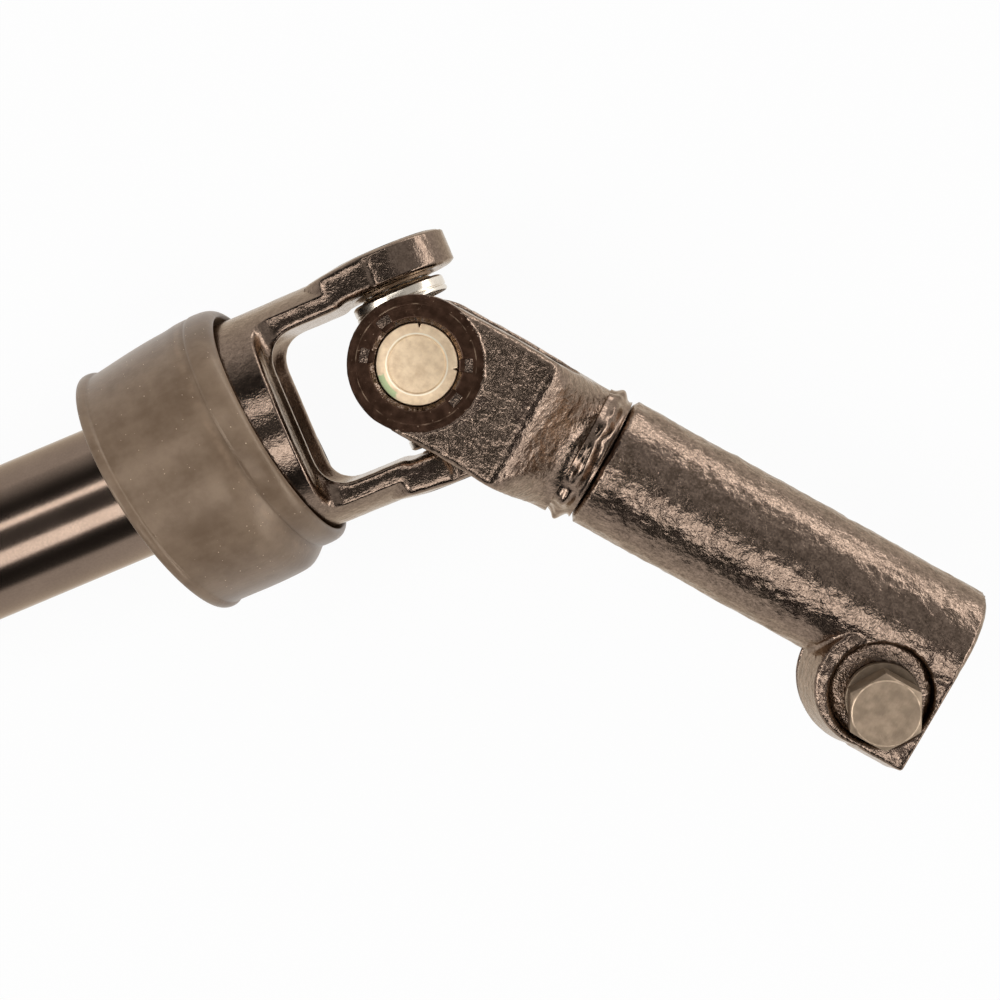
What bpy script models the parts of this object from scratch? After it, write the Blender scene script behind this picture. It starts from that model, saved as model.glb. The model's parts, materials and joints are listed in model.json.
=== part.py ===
"""Intermediate steering shaft with two universal joints and a telescoping middle.

The tube runs along X. The lower joint bends as it lies in the photograph, and the upper joint is straight.
Every joint centre is an empty, and what moves about it is parented to it.
"""
import math

import bmesh
import bpy
from mathutils import Matrix, Vector

MM = 0.001

# Gaps and fits
SEAT_GAP = 0.3 * MM          # between pieces that touch
RUNNING_GAP = 0.3 * MM       # radial, round what slides or turns
OVERCUT = 2.0 * MM           # how far a cutter passes the face it opens

# Lower joint at rest
LOWER_PITCH = math.radians(-3.4)
LOWER_BEND = math.radians(-51.65)

# Bearing kit, the same in both joints
TRUNNION_R = 6.1 * MM
SHOULDER_R = 8.2 * MM
SHOULDER_REACH = 14.0 * MM
CROSS_CORE_R = 11.6 * MM
CUP_R = 9.25 * MM
CUP_WALL = 1.3 * MM
CUP_FLOOR = 1.6 * MM
CUP_TOP = 26.3 * MM          # joint centre to the cup's outer face
CUP_FACE_RIM_R = 6.9 * MM    # pressed circle on the cup's face
CUP_FACE_DEPTH = 0.25 * MM
CUP_EDGE = 0.3 * MM
CUP_PROUD = 0.4 * MM         # the cup's mouth stands past the ear's inner face
TRUNNION_CHAMFER = 0.8 * MM
SEAL_R = 11.4 * MM
SEAL_LIP_R = 8.9 * MM
SEAL_HEIGHT = 4.6 * MM
SEAL_CASE = 3.9 * MM         # how much of that height is the metal case

# Ears, the same on every yoke
EAR_IN = 19.6 * MM           # joint centre to the inner face
EAR_OUT = 28.4 * MM          # joint centre to the machined outer face
COUNTERBORE_R = 10.4 * MM
COUNTERBORE_DEPTH = 1.7 * MM
STAKE_WIDTH = 2.8 * MM
STAKE_TIP_GAP = 0.1 * MM     # from the bore's wall to the tip of a stake
STAKE_ANGLES = (-103.6, -62.4, 65.8, 109.7)
STAKE_SLANT = 1.0            # degrees from the foot of a stake's flank to its tip

# Tube yoke
YOKE_HUB_R = 27.5 * MM
YOKE_ARM_R = 27.9 * MM
YOKE_EAR_R = 15.5 * MM
YOKE_BOSS_R = 13.5 * MM
YOKE_BOSS_FOOT_R = 21.5 * MM
YOKE_BOSS_FOOT = 27.0 * MM
YOKE_ARM_HALF_WIDTH = 15.0 * MM
YOKE_WINDOW_DEPTH = 32.5 * MM
YOKE_WINDOW_CORNER_R = 7.0 * MM
YOKE_ARM_IN = 18.8 * MM      # axis to the rough inner face of an arm
YOKE_EAR_FACE_R = 13.0 * MM  # the ear's inner face is machined back this far
YOKE_WEB_HOLLOW = 5.0 * MM   # the web between the arms is dished by this much
YOKE_WEB_RIM = 1.2 * MM      # and keeps a flat rim of this width
YOKE_SHOULDER_SET_BACK = 1.2 * MM
YOKE_SHOULDER_FILLET = 4.0 * MM
YOKE_HUB_LENGTH = 17.0 * MM
YOKE_SPIGOT_LENGTH = 14.0 * MM
YOKE_CHAMFER = 1.0 * MM

# Tube and what slides in it
TUBE_R = 17.0 * MM
TUBE_WALL = 2.5 * MM
TUBE_LENGTH = 165.0 * MM
TUBE_WELD_SIZE = 3.2 * MM
BUSHING_LENGTH = 28.0 * MM
BUSHING_FLANGE = 2.0 * MM
SEAL_CAP_R = 19.4 * MM
SEAL_CAP_SKIRT = 9.0 * MM
SEAL_CAP_FACE = 2.6 * MM
SEAL_CAP_EDGE = 1.0 * MM
INNER_R = 11.0 * MM
INNER_FLAT = 8.6 * MM        # axis to each flat of the double-D shaft
INNER_IN_TUBE = 92.0 * MM
INNER_OUT_OF_TUBE = 44.0 * MM

# Rubber boot
BOOT_R = 32.6 * MM
BOOT_LIP_STEP = 1.4 * MM      # how far the lip, rim and waist stand in from the widest ring
BOOT_RIM_STEP = 0.4 * MM
BOOT_WAIST_STEP = 1.2 * MM
BOOT_FRONT = 37.5 * MM       # joint centre to the middle of the front face
BOOT_BACK = 71.0 * MM        # joint centre to the middle of the back face
BOOT_FRONT_SKEW = math.radians(6.8)
BOOT_BACK_SKEW = math.radians(8.6)
BOOT_DIP = math.radians(6.0)
BOOT_LIP_SHIFT = -0.5 * MM   # how far the rings hang towards -Y
BOOT_BODY_SHIFT = 1.7 * MM
BOOT_BACK_SHIFT = 3.5 * MM
BOOT_MOUTH_ROOM = 0.8 * MM   # between the hub and the edge of the lip
BOOT_LIP_WIDTH = 6.2 * MM
BOOT_LIP_ROUND = 2.2 * MM
BOOT_GROOVE = 0.5 * MM
BOOT_SHOULDER = 5.0 * MM     # groove to the widest ring
BOOT_RIM_WIDTH = 2.4 * MM
BOOT_BACK_HOLLOW = 7.0 * MM
BOOT_BACK_WALL = 7.0 * MM
BOOT_BACK_SEAT = 3.0 * MM    # slope from the hollow down to the tube

# Fork of the lower joint
FORK_EAR_R = 15.6 * MM
FORK_ARM_HALF_WIDTH = 15.8 * MM
FORK_ARM_OUT = 28.9 * MM     # joint centre to the rough outer face of an arm
FORK_ARM_FLAT = 28.5 * MM    # where the outer face starts to curve in
FORK_NECK_START = 40.5 * MM
FORK_NECK_SHIFT = 0.9 * MM   # the forged neck lies off the axis, towards -Y
FORK_EDGE_R = 1.8 * MM
FORK_TIP_HALF_WIDTH = 0.5 * MM
FORK_WINDOW_DEPTH = 33.0 * MM
FORK_WINDOW_CORNER_R = 9.0 * MM
FORK_SPIGOT_R = 10.5 * MM
FORK_SPIGOT_LENGTH = 9.0 * MM
SPOT_FACE_R = 15.55 * MM

# Weld and clamp coupling
COUPLING_R = 16.2 * MM
WELD_START = 42.0 * MM
WELD_WIDTH = 5.3 * MM
WELD_RISE = 1.8 * MM
WELD_ROOT_R = 14.6 * MM
WELD_PROFILE = ((0.0, 0.0), (0.0, 0.55), (0.18, 1.0), (0.42, 0.85), (0.7, 0.35), (1.0, 0.25), (1.0, 0.0))
WELD_RIPPLE = 0.16           # share of the bead's rise
WELD_WANDER = 0.14
COUPLING_START = WELD_START + WELD_WIDTH + SEAT_GAP
COUPLING_END = 143.0 * MM
COUPLING_BORE_R = 9.6 * MM
COUPLING_SOCKET = 11.0 * MM  # counterbore that takes the fork's spigot
COUPLING_EDGE = 1.2 * MM
SPLINE_DEPTH = 42.0 * MM
SPLINE_COUNT = 22
SPLINE_HEIGHT = 0.7 * MM
SPLINE_LAND = 0.35           # share of the pitch that a root or a crest takes

# Pinch bolt, which leans in its hole and is not drawn tight
BOLT_R = 5.0 * MM
BOLT_TILT = math.radians(5.0)
BOLT_LIFT = 2.6 * MM         # washer to head
BOLT_PLAY = 0.45 * MM        # radial, in its hole and its washer
BOLT_AF = 16.0 * MM
BOLT_TURN = math.radians(30) # corners of the head, from the shaft's direction
BOLT_HEAD = 6.4 * MM
BOLT_CHAMFER = 1.1 * MM
BOLT_OVERHANG = 3.0 * MM
WASHER_SLIP = 0.7 * MM       # the washer hangs back from the bolt's axis
WASHER_BORE_R = BOLT_R + WASHER_SLIP + BOLT_PLAY
WASHER_R = WASHER_BORE_R + 2.65 * MM
WASHER_HEIGHT = 2.0 * MM
WASHER_GAP_ANGLE = math.radians(8.0)

# Clamp boss, with a recess for the bolt's head
RECESS_R = BOLT_AF / math.sqrt(3) + 2.75 * MM
RECESS_DEPTH = 4.6 * MM
RECESS_FROM_END = RECESS_R + 1.1 * MM
BOSS_FROM_END = RECESS_FROM_END + 1.9 * MM
BOSS_OUT = 14.8 * MM         # shaft axis to the middle of the boss
BOSS_R = RECESS_R + 2.0 * MM
BOSS_DRAFT = 2.8 * MM        # the boss is this much larger all round at the slot
BOSS_HALF_THICKNESS = 15.4 * MM
RECESS_OUT = BOSS_OUT + 0.5 * MM
BOLT_SHIFT_ALONG = 1.4 * MM  # hole beside the middle of the recess, towards the end face
BOLT_SHIFT_OUT = 0.6 * MM    # and away from the shaft
BOLT_SWAY = (BOSS_HALF_THICKNESS - RECESS_DEPTH / 2) * math.tan(BOLT_TILT)
BOLT_HOLE_R = BOLT_R + BOLT_SWAY + BOLT_PLAY
PINCH_SLOT = 3.0 * MM

# Upper joint
UPPER_HUB_R = 14.5 * MM
UPPER_NECK_START = 42.0 * MM
UPPER_HUB_END = 47.0 * MM
UPPER_SOCKET = 6.0 * MM
UPPER_WELD_RISE = 2.4 * MM
UPPER_WELD_WIDTH = 4.0 * MM
UPPER_CLAMP_R = 16.0 * MM
UPPER_CLAMP_END = 82.0 * MM
UPPER_SPLINE_DEPTH = 36.0 * MM

# Facets round a full turn
SMALL = 12
COARSE = 14
MEDIUM = 20
FINE = 28
LARGE = 40

# Steps along a curve
CORNER_STEPS = 4
TIP_STEPS = 12
BOSS_STEPS = 12
LOFT_STEPS = 5
ARC_STEPS = 7
WEB_STEPS = 6
COUNTERBORE_STEP = 28        # degrees
CREASE = math.radians(35)
WELDED = 0.001 * MM          # points closer than this are one

FORGED_BLACK = ((0.020, 0.016, 0.014, 1.0), 0.30, 0.55)
GLOSS_BLACK = ((0.012, 0.010, 0.010, 1.0), 0.14, 0.30)
RUBBER = ((0.085, 0.070, 0.058, 1.0), 0.72, 0.0)
CUP_STEEL = ((0.62, 0.50, 0.36, 1.0), 0.34, 0.9)
BRIGHT_STEEL = ((0.72, 0.68, 0.62, 1.0), 0.25, 1.0)
BOLT_STEEL = ((0.33, 0.27, 0.21, 1.0), 0.42, 0.85)
WELD_METAL = ((0.035, 0.027, 0.022, 1.0), 0.32, 0.6)
NYLON = ((0.70, 0.67, 0.58, 1.0), 0.45, 0.0)
SEAL_RUBBER = ((0.03, 0.03, 0.03, 1.0), 0.6, 0.0)


def clear_scene():
    for old in list(bpy.data.objects):
        bpy.data.objects.remove(old, do_unlink=True)


def principled(name, look):
    """A material from a look: colour, roughness and metallic."""
    colour, roughness, metallic = look
    made = bpy.data.materials.new(name)
    made.use_nodes = True
    shader = made.node_tree.nodes["Principled BSDF"]
    shader.inputs["Base Color"].default_value = colour
    shader.inputs["Roughness"].default_value = roughness
    shader.inputs["Metallic"].default_value = metallic
    made.diffuse_color = colour
    made.roughness = roughness
    made.metallic = metallic
    return made


def empty(name, parent=None, matrix=None):
    holder = bpy.data.objects.new(name, None)
    holder.empty_display_size = 10 * MM
    bpy.context.scene.collection.objects.link(holder)
    holder.parent = parent
    if matrix is not None:
        holder.matrix_local = matrix
    return holder


def add_object(name, bm, parent, look=None):
    """Turn a bmesh into a smooth-shaded object. Without a look it is a cutter or a helper body."""
    bmesh.ops.recalc_face_normals(bm, faces=bm.faces)
    mesh = bpy.data.meshes.new(name)
    bm.to_mesh(mesh)
    bm.free()
    mesh.shade_smooth()
    mesh.set_sharp_from_angle(angle=CREASE)
    made = bpy.data.objects.new(name, mesh)
    bpy.context.scene.collection.objects.link(made)
    made.parent = parent
    if look is not None:
        mesh.materials.append(principled(name, look))
    return made


def shape(target, helper, operation, solver="EXACT"):
    """Boolean a helper body with its target, and leave the helper as a wire guide.

    MANIFOLD is for a cutter that crosses earlier cuts, where EXACT leaves open edges.
    """
    step = target.modifiers.new(helper.name, "BOOLEAN")
    step.operation = operation
    step.solver = solver
    step.object = helper
    helper.hide_render = True
    helper.display_type = "WIRE"


def cut(target, helper, solver="EXACT"):
    shape(target, helper, "DIFFERENCE", solver)


def fuse(target, helper, solver="EXACT"):
    shape(target, helper, "UNION", solver)


def keep_inside(target, helper):
    shape(target, helper, "INTERSECT")


def ring_faces(bm, rings, closed):
    """Bridge rings of equal length, or a single vertex at a pole."""
    pairs = list(zip(rings, rings[1:]))
    if closed:
        pairs.append((rings[-1], rings[0]))
    for first, second in pairs:
        count = max(len(first), len(second))
        if count == 1:
            continue
        for i in range(count):
            j = (i + 1) % count
            corners = [first[i % len(first)], first[j % len(first)]]
            corners += [second[j % len(second)], second[i % len(second)]]
            unique = list(dict.fromkeys(corners))
            bm.faces.new(unique)


def turned(profile, segments, closed=False):
    """Revolve (x, radius) points about X. A closed profile makes a ring."""
    bm = bmesh.new()
    rings = []
    for x, radius in profile:
        if radius == 0:
            rings.append([bm.verts.new((x, 0, 0))])
            continue
        ring = []
        for i in range(segments):
            turn = math.tau * i / segments
            ring.append(bm.verts.new((x, radius * math.cos(turn), radius * math.sin(turn))))
        rings.append(ring)
    ring_faces(bm, rings, closed)
    return bm


def loft(outlines, heights):
    """Stack XY outlines of equal length along Z and close both ends."""
    bm = bmesh.new()
    rings = [[bm.verts.new((x, y, height)) for x, y in outline] for outline, height in zip(outlines, heights)]
    ring_faces(bm, rings, False)
    bm.faces.new(rings[0])
    bm.faces.new(rings[-1])
    return bm


def prism(outline, low, high, frame=None):
    """Extrude an XY outline along Z from low to high, then place it by a matrix."""
    bm = loft([outline, outline], [low, high])
    if frame is not None:
        bmesh.ops.transform(bm, matrix=frame, verts=bm.verts)
    return bm


def arc(centre, radius, start, end, steps):
    """Points on an arc, angles in degrees, ends included."""
    points = []
    for i in range(steps + 1):
        angle = math.radians(start + (end - start) * i / steps)
        points.append((centre[0] + radius * math.cos(angle), centre[1] + radius * math.sin(angle)))
    return points


def along(axis):
    """A matrix that turns +X onto the given axis."""
    return Vector((1, 0, 0)).rotation_difference(Vector(axis)).to_matrix().to_4x4()


ALONG_Y = Matrix.Rotation(math.radians(90), 4, "Z")
ALONG_Z = Matrix.Rotation(math.radians(-90), 4, "Y")
LAID_ON_XZ = Matrix.Rotation(math.radians(90), 4, "X")
ALONG_TUBE = Matrix(((0, 0, 1, 0), (0, 1, 0, 0), (-1, 0, 0, 0), (0, 0, 0, 1)))


def cylinder(radius, low, high, segments, frame=None):
    bm = turned([(low, 0), (low, radius), (high, radius), (high, 0)], segments)
    if frame is not None:
        bmesh.ops.transform(bm, matrix=frame, verts=bm.verts)
    return bm


def box(low, high, frame=None):
    outline = [(low[0], low[1]), (high[0], low[1]), (high[0], high[1]), (low[0], high[1])]
    return prism(outline, low[2], high[2], frame)


def counterbore_outline():
    """(angle, radius) round a counterbore: a circle with four stakes pushed in towards the cup."""
    half = math.degrees(math.asin(STAKE_WIDTH / 2 / COUNTERBORE_R))
    tip = CUP_R + SEAT_GAP + STAKE_TIP_GAP
    points = []
    for angle, following in zip(STAKE_ANGLES, STAKE_ANGLES[1:] + (STAKE_ANGLES[0] + 360.0,)):
        points += [(angle - half - STAKE_SLANT, COUNTERBORE_R), (angle - half, tip)]
        points += [(angle + half, tip), (angle + half + STAKE_SLANT, COUNTERBORE_R)]
        start = angle + half + STAKE_SLANT
        free = following - half - STAKE_SLANT - start
        count = max(1, round(free / COUNTERBORE_STEP))
        points += [(start + free * i / count, COUNTERBORE_R) for i in range(1, count)]
    return [(math.radians(angle), radius) for angle, radius in points]


def ear_details(yoke, parent, axis, name):
    """One stepped cutter for both ears of a trunnion axis: cup bore, counterbores and stakes."""
    outline = counterbore_outline()
    step = EAR_OUT - COUNTERBORE_DEPTH
    far = EAR_OUT + OVERCUT
    bm = bmesh.new()
    rings = []
    for x, wide in ((-far, True), (-step, True), (-step, False), (step, False), (step, True), (far, True)):
        ring = []
        for angle, radius in outline:
            reach = radius if wide else CUP_R + SEAT_GAP
            ring.append(bm.verts.new((x, reach * math.cos(angle), reach * math.sin(angle))))
        rings.append(ring)
    ring_faces(bm, rings, False)
    bm.faces.new(rings[0])
    bm.faces.new(rings[-1])
    bmesh.ops.transform(bm, matrix=along(axis), verts=bm.verts)
    cut(yoke, add_object(name + "_ear_bores", bm, parent), "MANIFOLD")


def dished_window(front, wide):
    """Cutter for the U between the tube yoke's arms, its floor dished towards the hub."""
    corner = YOKE_WINDOW_CORNER_R
    reach = YOKE_ARM_HALF_WIDTH - YOKE_WEB_RIM
    ways = [2 * i / WEB_STEPS - 1 for i in range(WEB_STEPS + 1)]
    heights = [-wide] + [reach * way for way in ways] + [wide]
    hollows = [0.0] + [YOKE_WEB_HOLLOW * (1 - way ** 2) for way in ways] + [0.0]
    outlines = []
    for hollow in hollows:
        floor = -YOKE_WINDOW_DEPTH - hollow
        outline = [(front, -EAR_IN), (front, EAR_IN)]
        outline += [(-YOKE_EAR_FACE_R, EAR_IN), (-YOKE_EAR_FACE_R, YOKE_ARM_IN)]
        outline += arc((floor + corner, YOKE_ARM_IN - corner), corner, 90, 180, CORNER_STEPS)
        outline += arc((floor + corner, -YOKE_ARM_IN + corner), corner, 180, 270, CORNER_STEPS)
        outline += [(-YOKE_EAR_FACE_R, -YOKE_ARM_IN), (-YOKE_EAR_FACE_R, -EAR_IN)]
        outlines.append(outline)
    return loft(outlines, heights)


def tube_yoke(name, parent):
    """Forged yoke whose hub closes the tube: turned body, trimmed in plan, with a U window."""
    hub_back = -YOKE_WINDOW_DEPTH - YOKE_HUB_LENGTH
    spigot_r = TUBE_R - TUBE_WALL - SEAT_GAP
    profile = [
        (hub_back - YOKE_SPIGOT_LENGTH, 0),
        (hub_back - YOKE_SPIGOT_LENGTH, spigot_r - YOKE_CHAMFER),
        (hub_back - YOKE_SPIGOT_LENGTH + YOKE_CHAMFER, spigot_r),
        (hub_back, spigot_r),
        (hub_back, YOKE_HUB_R - YOKE_CHAMFER),
        (hub_back + YOKE_CHAMFER, YOKE_HUB_R),
        (-YOKE_WINDOW_DEPTH, YOKE_HUB_R),
        (0, YOKE_ARM_R),
        (YOKE_EAR_R + OVERCUT, YOKE_ARM_R),
        (YOKE_EAR_R + OVERCUT, 0),
    ]
    yoke = add_object(name, turned(profile, LARGE), parent, GLOSS_BLACK)

    for side, label in ((1, "a"), (-1, "b")):
        root = EAR_IN + OVERCUT
        profile = [(root, 0), (root, YOKE_BOSS_FOOT_R), (YOKE_BOSS_FOOT, YOKE_BOSS_FOOT_R)]
        profile += [(EAR_OUT, YOKE_BOSS_R), (EAR_OUT, 0)]
        boss = turned([(side * x, radius) for x, radius in profile], FINE)
        bmesh.ops.transform(boss, matrix=ALONG_Y, verts=boss.verts)
        fuse(yoke, add_object(name + "_boss_" + label, boss, parent))

    shoulder = -YOKE_WINDOW_DEPTH - YOKE_SHOULDER_SET_BACK
    far = hub_back - YOKE_SPIGOT_LENGTH - OVERCUT
    wide = YOKE_HUB_R + OVERCUT
    fillet = YOKE_SHOULDER_FILLET
    half = YOKE_ARM_HALF_WIDTH
    plan = [(far, -wide), (shoulder, -wide)]
    plan += arc((shoulder + fillet, -half - fillet), fillet, 180, 90, CORNER_STEPS)
    plan += arc((0, 0), YOKE_EAR_R, -90, 90, TIP_STEPS)
    plan += arc((shoulder + fillet, half + fillet), fillet, 270, 180, CORNER_STEPS)
    plan += [(shoulder, wide), (far, wide)]
    trim = prism(plan, -wide, wide, LAID_ON_XZ)
    keep_inside(yoke, add_object(name + "_plan", trim, parent))

    opening = dished_window(YOKE_EAR_R + 2 * OVERCUT, wide + OVERCUT)
    cut(yoke, add_object(name + "_window", opening, parent), "MANIFOLD")
    ear_details(yoke, parent, (0, 1, 0), name)
    return yoke


def rounded_section(half_width, half_height, radius):
    """Rounded rectangle in YZ, the same number of points whatever its size."""
    radius = min(radius, half_width, half_height)
    points = []
    corners = ((1, 1, 0), (-1, 1, 90), (-1, -1, 180), (1, -1, 270))
    for sign_y, sign_z, start in corners:
        centre = (sign_y * (half_width - radius), sign_z * (half_height - radius))
        points += arc(centre, radius, start, start + 90, CORNER_STEPS)
    return points


def smooth_step(value):
    value = max(0.0, min(1.0, value))
    return value * value * (3 - 2 * value)


def fork_section(x, hub_r, neck_start):
    """Half width, half height and corner radius of a fork's forging at x from the joint centre."""
    if x < 0:
        width = math.sqrt(max(FORK_EAR_R ** 2 - x ** 2, FORK_TIP_HALF_WIDTH ** 2))
        return width, FORK_ARM_OUT, FORK_EDGE_R
    draft = min(1.0, x / FORK_ARM_FLAT)
    width = FORK_EAR_R + (FORK_ARM_HALF_WIDTH - FORK_EAR_R) * draft
    blend = smooth_step((x - FORK_ARM_FLAT) / (neck_start - FORK_ARM_FLAT))
    width += (hub_r - width) * blend
    height = FORK_ARM_OUT + (hub_r - FORK_ARM_OUT) * blend
    radius = FORK_EDGE_R + (hub_r - FORK_EDGE_R) * blend
    return width, height, radius


def fork_forging(name, parent, hub_r, neck_start, hub_end, look, neck_shift=0.0):
    """Loft of a forked yoke: round ear ends, flat arms, then a shoulder into a round neck."""
    ear_steps = [-FORK_EAR_R * math.cos(math.pi / 2 * i / LOFT_STEPS) for i in range(LOFT_STEPS)]
    arm_steps = [0.0, FORK_ARM_FLAT / 2]
    neck = [FORK_ARM_FLAT + (neck_start - FORK_ARM_FLAT) * i / LOFT_STEPS for i in range(LOFT_STEPS + 1)]
    stations = ear_steps + arm_steps + neck + [hub_end]
    bm = bmesh.new()
    rings = []
    for x in stations:
        section = rounded_section(*fork_section(x, hub_r, neck_start))
        shift = neck_shift * smooth_step((x - FORK_ARM_FLAT / 2) / (neck_start - FORK_ARM_FLAT / 2))
        rings.append([bm.verts.new((x, y - shift, z)) for y, z in section])
    ring_faces(bm, rings, False)
    bm.faces.new(rings[0])
    bm.faces.new(rings[-1])
    bmesh.ops.remove_doubles(bm, verts=bm.verts, dist=WELDED)
    return add_object(name, bm, parent, look)


def fork_window(fork, name, parent):
    corner = FORK_WINDOW_CORNER_R
    depth = FORK_WINDOW_DEPTH
    front = -FORK_EAR_R - OVERCUT
    window = [(front, EAR_IN), (front, -EAR_IN)]
    window += arc((depth - corner, -EAR_IN + corner), corner, -90, 0, CORNER_STEPS)
    window += arc((depth - corner, EAR_IN - corner), corner, 0, 90, CORNER_STEPS)
    wide = FORK_ARM_HALF_WIDTH + OVERCUT
    cut(fork, add_object(name + "_window", prism(window, -wide, wide, LAID_ON_XZ), parent))


def spot_faces(fork, name, parent):
    """Machined rings round the cups, below the rough face of the arms."""
    for side, label in ((1, "a"), (-1, "b")):
        low, high = sorted((side * EAR_OUT, side * (FORK_ARM_OUT + OVERCUT)))
        face = cylinder(SPOT_FACE_R, low, high, FINE, ALONG_Z)
        cut(fork, add_object(name + "_spot_face_" + label, face, parent))


def cross(name, parent):
    """Forged cross: round core, four shoulders and four ground trunnions."""
    half_round = arc((0, 0), CROSS_CORE_R, 180, 0, LOFT_STEPS)[1:-1]
    core = turned([(-CROSS_CORE_R, 0)] + half_round + [(CROSS_CORE_R, 0)], COARSE)
    spider = add_object(name, core, parent, BRIGHT_STEEL)
    reach = CUP_TOP - CUP_FLOOR - RUNNING_GAP
    chamfer = TRUNNION_CHAMFER
    for turn, label in ((ALONG_Y, "y"), (ALONG_Z, "z")):
        profile = [(-reach, 0), (-reach, TRUNNION_R - chamfer), (-reach + chamfer, TRUNNION_R)]
        profile += [(-SHOULDER_REACH, TRUNNION_R), (-SHOULDER_REACH, SHOULDER_R)]
        profile += [(SHOULDER_REACH, SHOULDER_R), (SHOULDER_REACH, TRUNNION_R)]
        profile += [(reach - chamfer, TRUNNION_R), (reach, TRUNNION_R - chamfer), (reach, 0)]
        arm = turned(profile, COARSE)
        bmesh.ops.transform(arm, matrix=turn, verts=arm.verts)
        fuse(spider, add_object(name + "_arm_" + label, arm, parent))
    return spider


def bearing(cup_name, needle_name, parent, axis):
    """Cup and its ring of needle rollers, pressed into one ear."""
    turn = along(axis)
    mouth = EAR_IN - CUP_PROUD
    inner = CUP_R - CUP_WALL
    profile = [
        (mouth, inner), (CUP_TOP - CUP_FLOOR, inner), (CUP_TOP - CUP_FLOOR, 0),
        (CUP_TOP - CUP_FACE_DEPTH, 0), (CUP_TOP - CUP_FACE_DEPTH, CUP_FACE_RIM_R - CUP_FACE_DEPTH),
        (CUP_TOP, CUP_FACE_RIM_R), (CUP_TOP, CUP_R - CUP_EDGE), (CUP_TOP - CUP_EDGE, CUP_R), (mouth, CUP_R),
    ]
    bm = bmesh.new()
    rings = []
    for x, radius in profile:
        if radius == 0:
            rings.append([bm.verts.new((x, 0, 0))])
        else:
            angles = [math.tau * i / COARSE for i in range(COARSE)]
            rings.append([bm.verts.new((x, radius * math.cos(a), radius * math.sin(a))) for a in angles])
    outer = rings[3:] + rings[:3]
    ring_faces(bm, outer, False)
    bmesh.ops.transform(bm, matrix=turn, verts=bm.verts)
    add_object(cup_name, bm, parent, CUP_STEEL)

    track = TRUNNION_R + RUNNING_GAP
    outside = inner - SEAT_GAP
    start = mouth + SEAT_GAP
    end = CUP_TOP - CUP_FLOOR - SEAT_GAP
    needles = turned([(start, track), (end, track), (end, outside), (start, outside)], SMALL, closed=True)
    bmesh.ops.transform(needles, matrix=turn, verts=needles.verts)
    add_object(needle_name, needles, parent, BRIGHT_STEEL)


def seal_ring(name, parent, axis):
    """Metal-cased seal on a trunnion's shoulder, with its rubber lip towards the ear."""
    inner = TRUNNION_R + SEAT_GAP
    start = SHOULDER_REACH + SEAT_GAP
    end = start + SEAL_HEIGHT
    step = start + SEAL_CASE
    profile = [(start, inner), (end, inner), (end, SEAL_LIP_R)]
    profile += [(step, SEAL_LIP_R), (step, SEAL_R), (start, SEAL_R)]
    ring = turned(profile, SMALL, closed=True)
    bmesh.ops.transform(ring, matrix=along(axis), verts=ring.verts)
    add_object(name, ring, parent, BRIGHT_STEEL)


def boot_ring(bm, offset_x, radius, skew, dip, shift):
    """A ring of the boot, tilted in plan by skew and out of plan by dip, and shifted towards -Y."""
    ring = []
    for i in range(FINE):
        turn = math.tau * i / FINE
        y = radius * math.cos(turn)
        z = radius * math.sin(turn)
        x = offset_x - y * math.tan(skew) - z * math.tan(dip)
        ring.append(bm.verts.new((x, y - shift, z)))
    return ring


def rubber_boot(name, parent):
    """Rubber ring over the hub and the tube: stretched askew outside, true to the shaft inside."""
    hub_r = YOKE_HUB_R + SEAT_GAP
    tube_r = TUBE_R + SEAT_GAP
    weld_back = YOKE_WINDOW_DEPTH + YOKE_HUB_LENGTH + TUBE_WELD_SIZE + 3 * SEAT_GAP
    length = BOOT_BACK - BOOT_FRONT
    lip = BOOT_LIP_WIDTH
    lip_r = BOOT_R - BOOT_LIP_STEP
    rim_r = BOOT_R - BOOT_RIM_STEP
    rows = [
        (BOOT_FRONT, hub_r + BOOT_MOUTH_ROOM, BOOT_LIP_SHIFT),
        (BOOT_FRONT, lip_r - BOOT_LIP_ROUND, BOOT_LIP_SHIFT),
        (BOOT_FRONT + BOOT_LIP_ROUND, lip_r, BOOT_LIP_SHIFT),
        (BOOT_FRONT + lip - BOOT_GROOVE, lip_r, BOOT_LIP_SHIFT),
        (BOOT_FRONT + lip, lip_r - BOOT_GROOVE, BOOT_LIP_SHIFT),
        (BOOT_FRONT + lip + BOOT_GROOVE, lip_r, BOOT_LIP_SHIFT),
        (BOOT_FRONT + lip + BOOT_SHOULDER, BOOT_R, BOOT_BODY_SHIFT),
        (BOOT_BACK - BOOT_RIM_WIDTH, BOOT_R - BOOT_WAIST_STEP, BOOT_BACK_SHIFT),
        (BOOT_BACK - BOOT_RIM_WIDTH / 2, rim_r, BOOT_BACK_SHIFT),
        (BOOT_BACK, rim_r - BOOT_GROOVE, BOOT_BACK_SHIFT),
        (BOOT_BACK, BOOT_R - BOOT_BACK_WALL, BOOT_BACK_SHIFT),
        (BOOT_BACK - BOOT_BACK_HOLLOW, TUBE_R + BOOT_BACK_WALL, BOOT_BACK_SHIFT),
    ]
    inside = [
        (BOOT_BACK - BOOT_BACK_HOLLOW - BOOT_BACK_SEAT, tube_r),
        (weld_back, tube_r),
        (weld_back, hub_r),
        (BOOT_FRONT + lip, hub_r),
    ]
    bm = bmesh.new()
    rings = []
    for depth, radius, shift in rows:
        skew = BOOT_FRONT_SKEW + (BOOT_BACK_SKEW - BOOT_FRONT_SKEW) * (depth - BOOT_FRONT) / length
        rings.append(boot_ring(bm, -depth, radius, skew, BOOT_DIP, shift))
    for depth, radius in inside:
        rings.append(boot_ring(bm, -depth, radius, 0.0, 0.0, 0.0))
    ring_faces(bm, rings, True)
    return add_object(name, bm, parent, RUBBER)


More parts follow.
